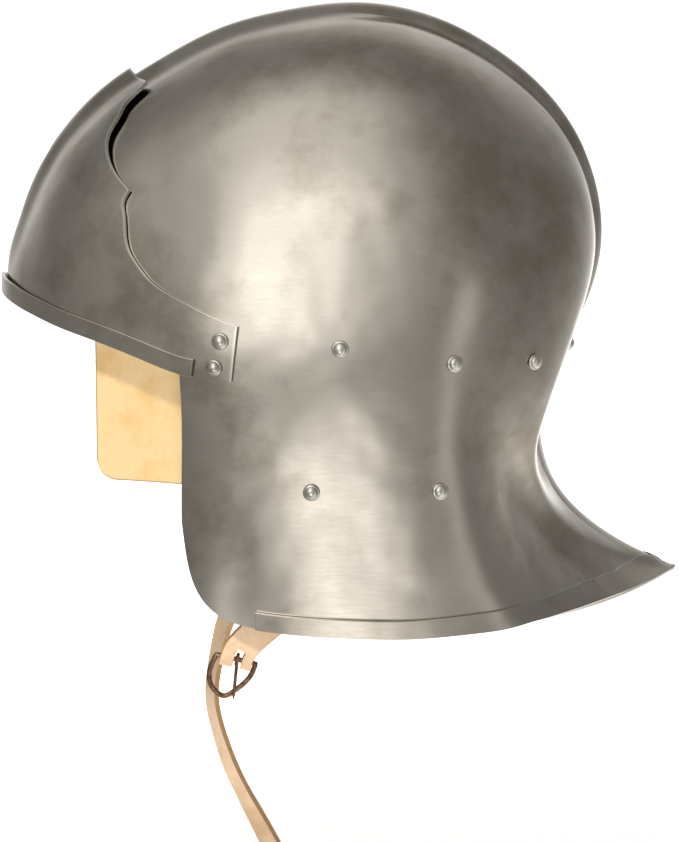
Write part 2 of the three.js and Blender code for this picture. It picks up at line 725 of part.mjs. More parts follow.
// Straps: rectangular rings along a line, each with its centre, its width direction and its face direction
function strapRing(centre, across, face, width = STRAP_WIDTH) {
  const half = width / 2;
  const deep = STRAP_LEATHER / 2;
  return [
    [-half, -deep],
    [half, -deep],
    [half, deep],
    [-half, deep],
  ].map(([a, b]) => add(add(centre, across, a), face, b));
}

// The strap lies behind the lining at its rivet
const strapDepth = liningInner + WASHER_CLEARANCE + STRAP_LEATHER / 2;
const strapSpots = [STRAP_END, STRAP_SPOT];
const [strapEnd, strapRoot] = strapSpots.map(([t, v]) => offset(t, v, -strapDepth));
const barMiddle = [BUCKLE_X, BUCKLE_Y, -BUCKLE_DROP];
const barTilt = 14 * degrees;
const barAlong = [0, Math.cos(barTilt), -Math.sin(barTilt)];
const barDown = [0, -Math.sin(barTilt), -Math.cos(barTilt)];
const wrapRadius = BAR_RADIUS + GAP + STRAP_LEATHER / 2;

// Left strap: straight from the rivet to a bend, then round the buckle's bar and back behind itself
const bendPoint = add(add(barMiddle, barDown, -BEND_ABOVE_BAR), [1, 0, 0], wrapRadius);
const strapDirection = unit(sub(bendPoint, strapRoot));
const bendStart = add(bendPoint, strapDirection, -BEND_REACH);
const foldTop = add(barMiddle, [1, 0, 0], wrapRadius);
function leftStation(k) {
  const m = 1 - k;
  const centre = add(mix(bendStart, bendPoint, k).map((x) => x * m), mix(bendPoint, foldTop, k), k);
  const along = unit(add(sub(bendPoint, bendStart).map((x) => x * m), sub(foldTop, bendPoint), k));
  return { centre, along };
}
const sideOf = (along) => unit([0, -along[2], along[1]]);
const leftRings = [];
const rootFaces = strapSpots.map(([t, v]) => skullNormal(t, v));
[strapEnd, strapRoot].forEach((centre, i) => {
  leftRings.push(strapRing(centre, unit(cross(rootFaces[i], strapDirection)), rootFaces[i]));
});
const straightSide = sideOf(strapDirection);
const straightFace = unit(cross(strapDirection, straightSide));
leftRings.push(strapRing(mix(strapRoot, bendStart, 0.4), straightSide, straightFace));
for (const k of [0, 0.25, 0.5, 0.75, 1]) {
  const { centre, along } = leftStation(k);
  const across = sideOf(along);
  leftRings.push(strapRing(centre, across, unit(cross(along, across))));
}
for (const angle of [36, 72, 108, 144]) {
  const out = [Math.cos(angle * degrees), 0, 0];
  const face = add(out, barDown, Math.sin(angle * degrees));
  leftRings.push(strapRing(add(barMiddle, face, wrapRadius), barAlong, face));
}
for (const k of [1, 0.75, 0.5, 0.25, 0]) {
  const { centre, along } = leftStation(k);
  const across = sideOf(along);
  const closing = THREE.MathUtils.smoothstep(1 - k, 0, 0.8);
  const behind = -2 * wrapRadius + (2 * wrapRadius - STRAP_LEATHER - GAP) * closing;
  leftRings.push(strapRing(add(centre, [1, 0, 0], behind), across, unit(cross(across, along))));
}
const slot = new THREE.BoxGeometry(2 * (wrapRadius + STRAP_LEATHER), SLOT_WIDTH, SLOT_LENGTH);
const slotTurn = new THREE.Matrix4().makeBasis(
  new THREE.Vector3(1, 0, 0),
  new THREE.Vector3(...barAlong),
  new THREE.Vector3(...barDown.map((x) => -x)),
);
// The slot is centred on the stretch of the prong that passes through the leather
const slotAlong = PRONG_ALONG + (0.5 * PRONG_LEAN * (wrapRadius + STRAP_LEATHER / 2)) / PRONG_LENGTH;
slotTurn.setPosition(...add(barMiddle, barAlong, slotAlong));
slot.applyMatrix4(slotTurn);
const [strapT, strapV] = STRAP_SPOT;
const leftCutters = [toSolid(closedOf(slot)), holeSolid(strapT, strapV)];
addPiece('strap_left', 'leather', drilled(toSolid(loft(leftRings)), leftCutters));

// Right strap: hangs free in a long curve, turned on itself below the cheek.
// inset, y and drop: its middle line as shares of HALF_WIDTH, SKULL_LENGTH and SKULL_HEIGHT.
// turn: how many degrees its face has turned from the side. width: share of STRAP_WIDTH.
const RIGHT_STRAP = [
  // inset, y, drop, turn, width
  [0.871, 0.051, 0.814, 0, 1],
  [0.843, -0.022, 0.882, 0, 1],
  [0.812, -0.095, 0.954, 4, 1],
  [0.798, -0.152, 1.021, 42, 1],
  [0.789, -0.185, 1.079, 59, 1],
  [0.786, -0.203, 1.136, 66, 1],
  [0.767, -0.213, 1.189, 70, 1],
  [0.743, -0.218, 1.236, 70, 1],
  [0.729, -0.214, 1.279, 67, 1],
  [0.719, -0.202, 1.329, 64, 1],
  [0.714, -0.188, 1.375, 60, 1],
  [0.714, -0.166, 1.429, 57, 1],
  [0.714, -0.146, 1.473, 53, 1],
  [0.714, -0.126, 1.518, 49, 1],
  [0.714, -0.114, 1.546, 47, 0.9],
  [0.714, -0.106, 1.564, 46, 0.5],
];
const rightTop = [strapEnd, strapRoot].map(([x, y, z]) => [-x, y, z]);
const rightFree = RIGHT_STRAP.map(([inset, y, drop]) => [
  -inset * HALF_WIDTH,
  y * SKULL_LENGTH,
  -drop * SKULL_HEIGHT,
]);
const rightLine = [...rightTop, ...rightFree];
const rightRings = rightLine.map((centre, i) => {
  const ahead = rightLine[Math.min(i + 1, rightLine.length - 1)];
  const along = unit(sub(ahead, rightLine[Math.max(i - 1, 0)]));
  if (i < rightTop.length) {
    const face = [-rootFaces[i][0], rootFaces[i][1], rootFaces[i][2]];
    return strapRing(centre, unit(cross(along, face)), face);
  }
  const row = RIGHT_STRAP[i - rightTop.length];
  const turn = row[3] * degrees;
  const across = unit(add([Math.sin(turn), 0, 0], sideOf(along), Math.cos(turn)));
  return strapRing(centre, across, unit(cross(across, along)), STRAP_WIDTH * row[4]);
});
addPiece('strap_right', 'leather', drilled(toSolid(loft(rightRings)), [holeSolid(strapT, -strapV)]));

// Buckle frame: the bar and a D drawn out to a point, in the upright plane through the bar.
// along: place along the bar as a share of BAR_LENGTH from its front end. down: share of FRAME_DEPTH.
const FRAME = [
  // along, down
  [0.00, 0.00],
  [-0.05, 0.22],
  [-0.06, 0.52],
  [0.0, 0.72],
  [0.20, 0.93],
  [0.42, 1.00],
  [0.66, 0.80],
  [0.86, 0.53],
  [0.97, 0.26],
  [1.00, 0.00],
];
const ringSides = 7;
function tubeRing(centre, ahead, radius) {
  const side = [1, 0, 0];
  const rise = unit(cross(ahead, side));
  return steps(0, 360, ringSides)
    .slice(0, -1)
    .map((a) => add(add(centre, side, radius * Math.cos(a * degrees)), rise, radius * Math.sin(a * degrees)));
}
const barFront = add(barMiddle, barAlong, -BAR_LENGTH / 2);
const frameLine = FRAME.map(([along, down]) =>
  add(add(barFront, barAlong, along * BAR_LENGTH), barDown, down * FRAME_DEPTH),
);
const frameRings = frameLine.map((centre, i) => {
  const n = frameLine.length;
  const before = unit(sub(centre, frameLine[(i + n - 1) % n]));
  const after = unit(sub(frameLine[(i + 1) % n], centre));
  return tubeRing(centre, unit(add(before, after)), FRAME_RADIUS);
});
addPiece('buckle_frame', 'bronze', toSolid(loft(frameRings, true)));

// Buckle prong: an eye round the bar and a pin that rests on the front of the frame
const eyeRadius = BAR_RADIUS + GAP + PRONG_RADIUS;
const eye = new THREE.TorusGeometry(eyeRadius, PRONG_RADIUS, 5, 10);
const eyeTurn = new THREE.Matrix4().makeBasis(
  new THREE.Vector3(1, 0, 0),
  new THREE.Vector3(...barDown.map((x) => -x)),
  new THREE.Vector3(...barAlong).negate(),
);
const eyeMiddle = add(barMiddle, barAlong, PRONG_ALONG);
eyeTurn.setPosition(...eyeMiddle);
eye.applyMatrix4(eyeTurn);
const pinTop = add(eyeMiddle, [1, 0, 0], eyeRadius);
const pinTip = add(add(pinTop, barDown, PRONG_LENGTH), barAlong, PRONG_LEAN);
const pinWay = unit(sub(pinTip, pinTop));
const pin = loft([
  tubeRing(pinTop, pinWay, PRONG_RADIUS),
  tubeRing(mix(pinTop, pinTip, 0.85), pinWay, PRONG_RADIUS),
  tubeRing(pinTip, pinWay, PRONG_RADIUS * 0.45),
]);
addPiece('buckle_prong', 'bronze', toSolid(closedOf(eye)).add(toSolid(pin)));

export default sallet;
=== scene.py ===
"""A steel sallet on a pale studio floor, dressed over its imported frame: the skull, brow plate, edge
bands, rivets, leather lining, chin strap and bronze buckle. Metres, +Z up, the face looks along -Y."""

import bpy
import numpy as np
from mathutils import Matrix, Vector


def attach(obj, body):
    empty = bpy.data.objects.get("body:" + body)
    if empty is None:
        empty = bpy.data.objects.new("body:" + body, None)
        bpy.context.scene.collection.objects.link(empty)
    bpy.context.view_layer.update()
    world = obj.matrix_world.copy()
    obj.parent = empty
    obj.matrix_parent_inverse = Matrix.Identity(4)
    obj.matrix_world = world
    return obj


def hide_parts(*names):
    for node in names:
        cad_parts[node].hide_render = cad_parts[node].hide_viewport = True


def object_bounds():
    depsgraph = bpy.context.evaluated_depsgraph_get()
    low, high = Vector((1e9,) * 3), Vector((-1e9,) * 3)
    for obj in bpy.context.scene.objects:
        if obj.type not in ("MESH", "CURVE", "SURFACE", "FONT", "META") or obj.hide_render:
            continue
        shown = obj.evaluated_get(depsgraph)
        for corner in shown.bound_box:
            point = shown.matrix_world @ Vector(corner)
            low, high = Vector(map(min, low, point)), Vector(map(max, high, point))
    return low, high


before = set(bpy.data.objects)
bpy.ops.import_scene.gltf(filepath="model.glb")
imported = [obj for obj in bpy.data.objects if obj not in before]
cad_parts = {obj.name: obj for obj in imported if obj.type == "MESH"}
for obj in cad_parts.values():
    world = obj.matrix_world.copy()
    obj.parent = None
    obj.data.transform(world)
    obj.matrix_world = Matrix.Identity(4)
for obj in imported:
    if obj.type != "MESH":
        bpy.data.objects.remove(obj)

cad_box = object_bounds()

# Steel skull
# One sheet of steel raised over stakes to a deep bowl with a low comb along the middle, straight cheeks
# and a tail drawn out behind. It is planished smooth and left satin, with fine polishing marks.
SKULL_LENGTH = 0.316
SKULL_HEIGHT = 0.280
HALF_WIDTH = 0.105
STEEL = 0.0018
COMB_HEIGHT = 0.0065
COMB_SPREAD = 0.009
ARCH_FROM = 0.38
ARCH_TO = 0.54
ARCH_POWER = 0.8
FACE_EDGE = 0.225
SKULL_ROWS = 250
BESIDE_COMB = 0.15
STEP_ALONG = 0.0015
STEP_DOWN = 0.004

# Sections from the middle of the brow (0) over the crown to the tip of the tail (1)
UPPER = [
    # t, ridge y, ridge drop, ear y, ear drop, ear, crown, side, lean, keel
    [0.000, -0.505, 0.475, -0.505, 0.475, 0.000, 0.60, 0.40, 0.00, 0.000],
    [0.012, -0.504, 0.448, -0.500, 0.479, 0.143, 0.58, 0.42, -0.20, 0.000],
    [0.030, -0.500, 0.411, -0.483, 0.490, 0.290, 0.56, 0.44, -0.20, 0.000],
    [0.055, -0.487, 0.364, -0.449, 0.505, 0.448, 0.55, 0.45, -0.17, 0.000],
    [0.085, -0.468, 0.305, -0.410, 0.519, 0.581, 0.55, 0.48, -0.12, 0.000],
    [0.120, -0.434, 0.236, -0.364, 0.534, 0.686, 0.56, 0.50, -0.08, 0.000],
    [0.170, -0.373, 0.161, -0.305, 0.556, 0.786, 0.58, 0.52, -0.03, 0.000],
    [0.225, -0.293, 0.100, -0.250, 0.578, 0.862, 0.60, 0.54, 0.00, 0.000],
    [0.280, -0.209, 0.049, -0.203, 0.587, 0.914, 0.62, 0.55, 0.02, 0.000],
    [0.350, -0.108, 0.015, -0.123, 0.596, 0.967, 0.63, 0.56, 0.03, 0.000],
    [0.420, 0.000, 0.000, -0.025, 0.601, 1.000, 0.64, 0.56, 0.03, 0.000],
    [0.490, 0.101, 0.016, 0.079, 0.605, 1.000, 0.64, 0.56, 0.03, 0.000],
    [0.560, 0.196, 0.064, 0.142, 0.615, 0.948, 0.64, 0.56, 0.05, 0.000],
    [0.625, 0.288, 0.146, 0.179, 0.636, 0.871, 0.64, 0.56, 0.09, 0.000],
    [0.690, 0.354, 0.264, 0.205, 0.670, 0.781, 0.66, 0.56, 0.16, 0.000],
    [0.750, 0.374, 0.400, 0.221, 0.702, 0.695, 0.66, 0.52, 0.18, 0.019],
    [0.810, 0.339, 0.536, 0.237, 0.736, 0.610, 0.62, 0.48, 0.14, 0.076],
    [0.860, 0.292, 0.657, 0.252, 0.774, 0.529, 0.58, 0.44, 0.08, 0.086],
    [0.900, 0.291, 0.757, 0.277, 0.821, 0.429, 0.50, 0.40, 0.00, 0.048],
    [0.940, 0.340, 0.852, 0.332, 0.882, 0.286, 0.40, 0.36, -0.10, 0.014],
    [0.970, 0.415, 0.914, 0.408, 0.927, 0.129, 0.40, 0.36, -0.15, 0.000],
    [1.000, 0.495, 0.957, 0.495, 0.957, 0.000, 0.40, 0.36, -0.15, 0.000],
]

# Lower edge of the cheeks, neck and tail
LOWER = [
    # t, rim y, rim drop, rim, flare
    [FACE_EDGE, -0.249, 0.818, 0.800, 0.000],
    [0.250, -0.239, 0.896, 0.810, 0.000],
    [0.280, -0.215, 0.952, 0.829, 0.000],
    [0.315, -0.171, 0.982, 0.852, 0.000],
    [0.350, -0.114, 0.992, 0.886, 0.000],
    [0.420, -0.016, 0.998, 0.924, 0.000],
    [0.490, 0.070, 0.999, 0.938, 0.000],
    [0.560, 0.152, 0.993, 0.929, -0.010],
    [0.625, 0.203, 0.989, 0.895, -0.029],
    [0.690, 0.239, 0.984, 0.838, -0.057],
    [0.750, 0.266, 0.982, 0.781, -0.086],
    [0.810, 0.296, 0.980, 0.705, -0.105],
    [0.860, 0.323, 0.979, 0.624, -0.114],
    [0.900, 0.354, 0.977, 0.529, -0.105],
    [0.940, 0.400, 0.973, 0.371, -0.067],
    [0.970, 0.446, 0.966, 0.200, -0.029],
    [1.000, 0.495, 0.957, 0.000, 0.000],
]

# Height of the comb along the ridge, as shares of COMB_HEIGHT
COMB = [
    # t, share
    [0.00, 0.00],
    [0.03, 0.50],
    [0.08, 0.78],
    [0.20, 0.92],
    [0.40, 1.00],
    [0.60, 0.92],
    [0.72, 0.70],
    [0.80, 0.38],
    [0.87, 0.22],
    [0.93, 0.18],
    [1.00, 0.00],
]


def natural_spline(rows):
    """Smooth curve through the rows of a table. Between two rows each column is a straight line plus a
    bend from either row, which falls off with the cube of the distance; the bends keep the slope steady."""
    table = np.asarray(rows, float)
    at = table[:, 0]
    values = table[:, 1:]
    gap = np.diff(at)
    inner = np.arange(1, len(at) - 1)
    system = np.eye(len(at))
    system[inner, inner - 1] = gap[:-1]
    system[inner, inner] = 2 * (gap[:-1] + gap[1:])
    system[inner, inner + 1] = gap[1:]
    right = np.zeros_like(values)
    right[inner] = 6 * np.diff(np.diff(values, axis=0) / gap[:, None], axis=0)
    bend = np.linalg.solve(system, right)

    def curve(t):
        t = np.asarray(t, float)
        k = np.clip(np.searchsorted(at, t, side="right") - 1, 0, len(at) - 2)
        span = gap[k][..., None]
        ahead = (t - at[k])[..., None]
        back = span - ahead
        bent = (bend[k] * back**3 + bend[k + 1] * ahead**3) / (6 * span)
        left = (values[k] / span - bend[k] * span / 6) * back
        rest = (values[k + 1] / span - bend[k + 1] * span / 6) * ahead
        return bent + left + rest

    return curve


def linear(rows, t):
    """Straight lines between the rows of a table of two columns."""
    table = np.asarray(rows, float)
    return np.interp(t, table[:, 0], table[:, 1])


def smooth(value, low, high):
    """Eased step from 0 to 1: three times the square of the share less twice its cube."""
    share = np.clip((value - low) / (high - low), 0, 1)
    return share * share * (3 - 2 * share)


def unit(vectors):
    """Vectors divided by their own length."""
    return vectors / np.maximum(np.linalg.norm(vectors, axis=-1, keepdims=True), 1e-12)


def height_of(drop):
    """Height over the origin of a drop below the crest, given as a share of the skull's height."""
    return STEEL - drop * SKULL_HEIGHT


upper_at = natural_spline(UPPER)
lower_at = natural_spline(LOWER)


def ridge_normal(t):
    """Outward normal of the ridge line: its direction in the middle plane turned by a right angle."""
    ahead = upper_at(np.minimum(t + 0.001, 1))
    back = upper_at(np.maximum(t - 0.001, 0))
    dy = (ahead[..., 0] - back[..., 0]) * SKULL_LENGTH
    dz = height_of(ahead[..., 1]) - height_of(back[..., 1])
    return unit(np.stack([0 * dy, -dz, dy], -1))


def bezier(a, b, c, d, k):
    """Cubic curve from a to d, the four points weighted by powers of k and of 1 less k."""
    m = 1 - k
    return a * m**3 + 3 * b * k * m * m + 3 * c * k * k * m + d * k**3


def skull_surface(t, v):
    """Outer face. t runs from the brow to the tail, v from the ridge (0) past the ear line (1) to the
    lower edge (2), negative on the wearer's right. Each section is one Bezier curve from ridge to ear
    line and one from there to the edge. The comb on top is a bell curve across the middle in front, and
    over the crown it becomes an arch that meets the skull in a crisp line."""
    t, v = np.broadcast_arrays(np.asarray(t, float), np.asarray(v, float))
    ridge_y, ridge_drop, ear_y, ear_drop, ear, crown, side, lean, keel = np.moveaxis(upper_at(t), -1, 0)
    normal = ridge_normal(t)
    comb = (COMB_HEIGHT * linear(COMB, t))[..., None]
    ridge = np.stack([0 * t, ridge_y * SKULL_LENGTH, height_of(ridge_drop)], -1) - comb * normal
    half = ear * HALF_WIDTH
    ear_point = np.stack([half, ear_y * SKULL_LENGTH, height_of(ear_drop)], -1)
    shoulder = ridge - (keel * HALF_WIDTH)[..., None] * normal
    shoulder[..., 0] = crown * half
    flank = ear_point + side[..., None] * (ridge - ear_point)
    flank[..., 0] = half * (1 + lean)
    rim_y, rim_drop, rim, flare = np.moveaxis(lower_at(np.maximum(t, FACE_EDGE)), -1, 0)
    rim_point = np.stack([rim * HALF_WIDTH, rim_y * SKULL_LENGTH, height_of(rim_drop)], -1)
    reach = np.linalg.norm(rim_point - ear_point, axis=-1, keepdims=True)
    start = ear_point + 0.36 * reach * unit(ear_point - flank)
    end = rim_point + 0.33 * (ear_point - rim_point)
    end[..., 0] += flare * HALF_WIDTH
    down = np.abs(v)[..., None]
    upper = bezier(ridge, shoulder, flank, ear_point, np.clip(down, 0, 1))
    lower = bezier(ear_point, start, end, rim_point, np.clip(down - 1, 0, 1))
    point = np.where(down <= 1, upper, lower)
    across = (point[..., :1] / COMB_SPREAD) ** 2
    crisp = smooth(t, ARCH_FROM, ARCH_TO)[..., None]
    arch = np.maximum(1 - across, 0) ** ARCH_POWER
    point = point + comb * (np.exp(-across) * (1 - crisp) + arch * crisp) * normal
    point[..., 0] *= np.where(v < 0, -1, 1)
    return point


def skull_normal(t, v):
    """Outward normal: the cross product of short steps down and along the surface. On the ridge and at
    its two ends it is the ridge's own."""
    t, v = np.broadcast_arrays(np.asarray(t, float), np.asarray(v, float))
    down = np.abs(v)
    first = np.where(down > 1, FACE_EDGE, 0)
    last = np.where(t < FACE_EDGE - 1e-9, 1, 2)
    after = skull_surface(np.minimum(t + STEP_ALONG, 1), down)
    before = skull_surface(np.maximum(t - STEP_ALONG, first), down)
    below = skull_surface(t, np.minimum(down + STEP_DOWN, last))
    above = skull_surface(t, np.maximum(down - STEP_DOWN, 0))
    normal = unit(np.cross(below - above, after - before))
    normal[..., 0] *= np.where(v < 0, -1, 1)
    middle = (down < 1e-6) | (t < 1e-6) | (t > 1 - 1e-6)
    return np.where(middle[..., None], ridge_normal(t), normal)


def skull_offset(t, v, out):
    """Points that stand a distance outside the skull's outer face, along its normal."""
    return skull_surface(t, v) + skull_normal(t, v) * np.asarray(out)[..., None]


def make_piece(name, points, faces, tint=None):
    """Mesh object from points and four-cornered faces. Points that coincide become one, so a face that
    closes on a pole is left a triangle, and all faces turn outwards, by the sign of the volume. tint is
    a value from 0 to 1 at each point that the materials read."""
    _, first, merged = np.unique(
        np.round(points, 7), axis=0, return_index=True, return_inverse=True
    )
    faces = merged.reshape(-1)[faces]
    same = faces == np.roll(faces, -1, axis=1)
    quads = faces[same.sum(1) == 0]
    corner = same.sum(1) == 1
    triangles = faces[corner][~same[corner]].reshape(-1, 3)
    used, packed = np.unique(np.concatenate([quads.ravel(), triangles.ravel()]), return_inverse=True)
    quads = packed[: quads.size].reshape(-1, 4)
    triangles = packed[quads.size :].reshape(-1, 3)
    place = points[first][used]
    fans = np.concatenate([quads[:, [0, 1, 2]], quads[:, [0, 2, 3]], triangles])
    a, b, c = place[fans[:, 0]], place[fans[:, 1]], place[fans[:, 2]]
    if np.sum(a * np.cross(b, c)) < 0:
        quads = quads[:, ::-1]
        triangles = triangles[:, ::-1]
    mesh = bpy.data.meshes.new(name)
    mesh.from_pydata(place.tolist(), [], quads.tolist() + triangles.tolist())
    mesh.shade_smooth()
    if tint is not None:
        layer = mesh.attributes.new("tint", "FLOAT", "POINT")
        layer.data.foreach_set("value", tint.reshape(-1)[first][used].astype(np.float32))
    piece = bpy.data.objects.new(name, mesh)
    bpy.context.scene.collection.objects.link(piece)
    return piece


def sheet_piece(name, outer, inner, present=None, tint=None):
    """Closed sheet between two grids of points. present marks the cells that exist, and a wall joins
    both faces along every edge that has no neighbour."""
    rows, columns = outer.shape[0] - 1, outer.shape[1] - 1
    if present is None:
        present = np.ones((rows, columns), bool)
    near = np.arange((rows + 1) * (columns + 1)).reshape(rows + 1, columns + 1)
    a, b, c, d = near[:-1, :-1], near[:-1, 1:], near[1:, 1:], near[1:, :-1]
    far = near.size
    ringed = np.pad(present, 1)
    open_before = present & ~ringed[:-2, 1:-1]
    open_right = present & ~ringed[1:-1, 2:]
    open_after = present & ~ringed[2:, 1:-1]
    open_left = present & ~ringed[1:-1, :-2]
    faces = [
        np.stack([a, b, c, d], -1)[present],
        np.stack([d, c, b, a], -1)[present] + far,
        np.stack([b, a, a + far, b + far], -1)[open_before],
        np.stack([c, b, b + far, c + far], -1)[open_right],
        np.stack([d, c, c + far, d + far], -1)[open_after],
        np.stack([a, d, d + far, a + far], -1)[open_left],
    ]
    points = np.concatenate([outer.reshape(-1, 3), inner.reshape(-1, 3)])
    shade = None if tint is None else np.concatenate([tint.reshape(-1), tint.reshape(-1)])
    return make_piece(name, points, np.concatenate(faces), shade)


def round_edges(piece, width):
    """Bevel on the edges that turn by more than 40 degrees; the broad faces keep their shading."""
    bevel = piece.modifiers.new("round_edges", "BEVEL")
    bevel.width = width
    bevel.segments = 3
    bevel.limit_method = "ANGLE"
    bevel.angle_limit = np.radians(40)
    bevel.use_clamp_overlap = True
    bevel.harden_normals = True


def fit(piece, body, nodes, material):
    """The piece takes its material, rides on a body and stands for its solids."""
    piece.data.materials.append(material)
    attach(piece, body)
    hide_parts(*nodes)


class Finish:
    """One procedural material: a shader and the nodes that feed it, read from object coordinates."""

    def __init__(self, name, metallic, roughness):
        self.material = bpy.data.materials.new(name)
        self.material.use_nodes = True
        self.tree = self.material.node_tree
        self.shader = self.tree.nodes["Principled BSDF"]
        self.shader.inputs["Metallic"].default_value = metallic
        self.shader.inputs["Roughness"].default_value = roughness
        self.place = self.tree.nodes.new("ShaderNodeTexCoord").outputs["Object"]

    def link(self, source, target):
        """Join one node's output to another's input."""
        self.tree.links.new(source, target)

    def noise(self, scale, detail, stretch=(1, 1, 1), turn=(0, 0, 0)):
        """Fractal noise over the object coordinates, stretched and turned in degrees."""
        mapping = self.tree.nodes.new("ShaderNodeMapping")
        mapping.inputs["Scale"].default_value = stretch
        mapping.inputs["Rotation"].default_value = np.radians(turn)
        self.link(self.place, mapping.inputs["Vector"])
        noise = self.tree.nodes.new("ShaderNodeTexNoise")
        noise.inputs["Scale"].default_value = scale
        noise.inputs["Detail"].default_value = detail
        noise.inputs["Roughness"].default_value = 0.6
        self.link(mapping.outputs["Vector"], noise.inputs["Vector"])
        return noise.outputs["Fac"]

    def ramp(self, value, stops):
        """Colours blended between stops, each a position and a colour."""
        node = self.tree.nodes.new("ShaderNodeValToRGB")
        while len(node.color_ramp.elements) < len(stops):
            node.color_ramp.elements.new(0.5)
        for element, (position, colour) in zip(node.color_ramp.elements, stops):
            element.position = position
            element.color = (*colour, 1)
        self.link(value, node.inputs["Fac"])
        return node.outputs["Color"]

    def spread(self, value, low, high, from_low=0.3, from_high=0.7):
        """A value carried in a straight line from one range to another."""
        node = self.tree.nodes.new("ShaderNodeMapRange")
        node.inputs["From Min"].default_value = from_low
        node.inputs["From Max"].default_value = from_high
        node.inputs["To Min"].default_value = low
        node.inputs["To Max"].default_value = high
        self.link(value, node.inputs["Value"])
        return node.outputs["Result"]

    def sum(self, first, second):
        """Two values added."""
        node = self.tree.nodes.new("ShaderNodeMath")
        node.operation = "ADD"
        self.link(first, node.inputs[0])
        self.link(second, node.inputs[1])
        return node.outputs["Value"]

    def mix(self, share, first, second):
        """Two colours mixed by a share, each a node's output or a constant."""
        node = self.tree.nodes.new("ShaderNodeMix")
        node.data_type = "RGBA"
        node.blend_type = "MIX"
        for value, socket in ((share, node.inputs[0]), (first, node.inputs[6]), (second, node.inputs[7])):
            if isinstance(value, bpy.types.NodeSocket):
                self.link(value, socket)
            else:
                socket.default_value = value if isinstance(value, float) else (*value, 1)
        return node.outputs[2]

    def attribute(self, name):
        """A value that the mesh's points carry."""
        node = self.tree.nodes.new("ShaderNodeAttribute")
        node.attribute_name = name
        return node.outputs["Fac"]

    def bump(self, height, distance, strength=1.0, after=None):
        """Normal tilted by the slope of a height, on top of an earlier bump if one is given."""
        node = self.tree.nodes.new("ShaderNodeBump")
        node.inputs["Distance"].default_value = distance
        node.inputs["Strength"].default_value = strength
        self.link(height, node.inputs["Height"])
        if after is not None:
            self.link(after, node.inputs["Normal"])
        return node.outputs["Normal"]


POLISHED_TONE = (0.70, 0.67, 0.61)
# Paler tone painted along the marked edges of the steel as a highlight
EDGE_HIGHLIGHT_TONE = (0.92, 0.90, 0.85)
BROAD_WAVE = 0.007
FINE_WAVE = 0.0012


def satin_steel(name, light, dark, roughness):
    """Steel with a soft warm patina in patches, long faint polishing marks and a slightly wavy surface,
    with a painted highlight, a paler tone, along the edges that the tint marks."""
    steel = Finish(name, 1.0, roughness)
    broad = steel.noise(9, 2, turn=(15, 0, 30))
    patina = steel.sum(broad, steel.noise(38, 4, turn=(20, 10, 40)))
    colour = steel.ramp(steel.spread(patina, 0, 1, 0.75, 1.2), [(0.0, dark), (0.6, light), (1.0, light)])
    marks = steel.noise(46, 3, stretch=(9, 1, 11), turn=(8, 0, 0))
    scratches = steel.noise(120, 2, stretch=(8, 0.6, 9), turn=(-14, 0, 6))
    worn = steel.mix(steel.spread(marks, 0.0, 0.12, 0.5, 0.75), colour, POLISHED_TONE)
    gloss = steel.sum(steel.spread(patina, -0.04, 0.04, 0.8, 1.2), steel.spread(scratches, -0.03, 0.03))
    base = steel.tree.nodes.new("ShaderNodeMath")
    base.operation = "ADD"
    base.inputs[1].default_value = roughness
    steel.link(gloss, base.inputs[0])
    steel.link(base.outputs["Value"], steel.shader.inputs["Roughness"])
    # Painted highlight: the edges that the tint marks are mixed towards the paler tone
    edge = steel.attribute("tint")
    steel.link(steel.mix(edge, worn, EDGE_HIGHLIGHT_TONE), steel.shader.inputs["Base Color"])
    broad_waves = steel.bump(steel.noise(8, 1, turn=(0, 40, 20)), BROAD_WAVE)
    fine_waves = steel.bump(steel.noise(19, 2), FINE_WAVE, after=broad_waves)
    steel.link(fine_waves, steel.shader.inputs["Normal"])
    return steel.material


skull_steel = satin_steel("skull_steel", (0.60, 0.555, 0.485), (0.44, 0.39, 0.32), 0.17)

skull_t = np.linspace(0, 1, SKULL_ROWS + 1)
skull_t = np.sort(np.append(skull_t[np.abs(skull_t - FACE_EDGE) > 1e-3], FACE_EDGE))
# Columns from the ridge down, closest together beside the comb
skull_down = np.concatenate(
    [np.linspace(0, BESIDE_COMB, 46), np.linspace(BESIDE_COMB, 1, 27)[1:], np.linspace(1, 2, 25)[1:]]
)
skull_v = np.concatenate([-skull_down[:0:-1], skull_down])
t_grid, v_grid = np.meshgrid(skull_t, skull_v, indexing="ij")
cell_t = skull_t[:-1, None]
cell_v = np.maximum(np.abs(skull_v[:-1]), np.abs(skull_v[1:]))[None, :]
skull = sheet_piece(
    "steel_skull",
    skull_surface(t_grid, v_grid),
    skull_offset(t_grid, v_grid, np.full(t_grid.shape, -STEEL)),
    (cell_t > FACE_EDGE - 1e-6) | (cell_v < 1.001),
)
round_edges(skull, 0.0004)
fit(skull, "helmet", ["skull"], skull_steel)

# Brow plate
# A second plate of the same steel, shaped over the brow and held by two rivets at either temple. Its
# rear edge is cut in scallops, and the upper part of that edge stands clear of the skull.
PLATE_STEEL = 0.0018
PLATE_LIFT = 0.0013
PLATE_CLEARANCE = 0.0007

# Rear edge in four runs that meet in corners: how far back it lies at each share down the section
SCALLOP_RUNS = [
    [[0.000, 0.207], [0.050, 0.208], [0.100, 0.212], [0.153, 0.217]],
    [
        [0.153, 0.217], [0.176, 0.209], [0.200, 0.199], [0.252, 0.190], [0.304, 0.179],
        [0.367, 0.173], [0.411, 0.173], [0.471, 0.177], [0.514, 0.183], [0.552, 0.190],
    ],
    [
        [0.552, 0.190], [0.565, 0.185], [0.615, 0.181], [0.686, 0.179], [0.730, 0.182],
        [0.775, 0.192], [0.821, 0.212], [0.852, 0.241], [0.872, 0.264], [0.889, 0.288], [0.902, 0.312],
    ],
    [[0.902, 0.312], [0.950, 0.309], [1.000, 0.306]],
]
RUN_COLUMNS = [22, 52, 56, 14]
PLATE_ROWS = 42
PLATE_ROW_POWER = 0.85
PLATE_EDGE_ROW = 0.988


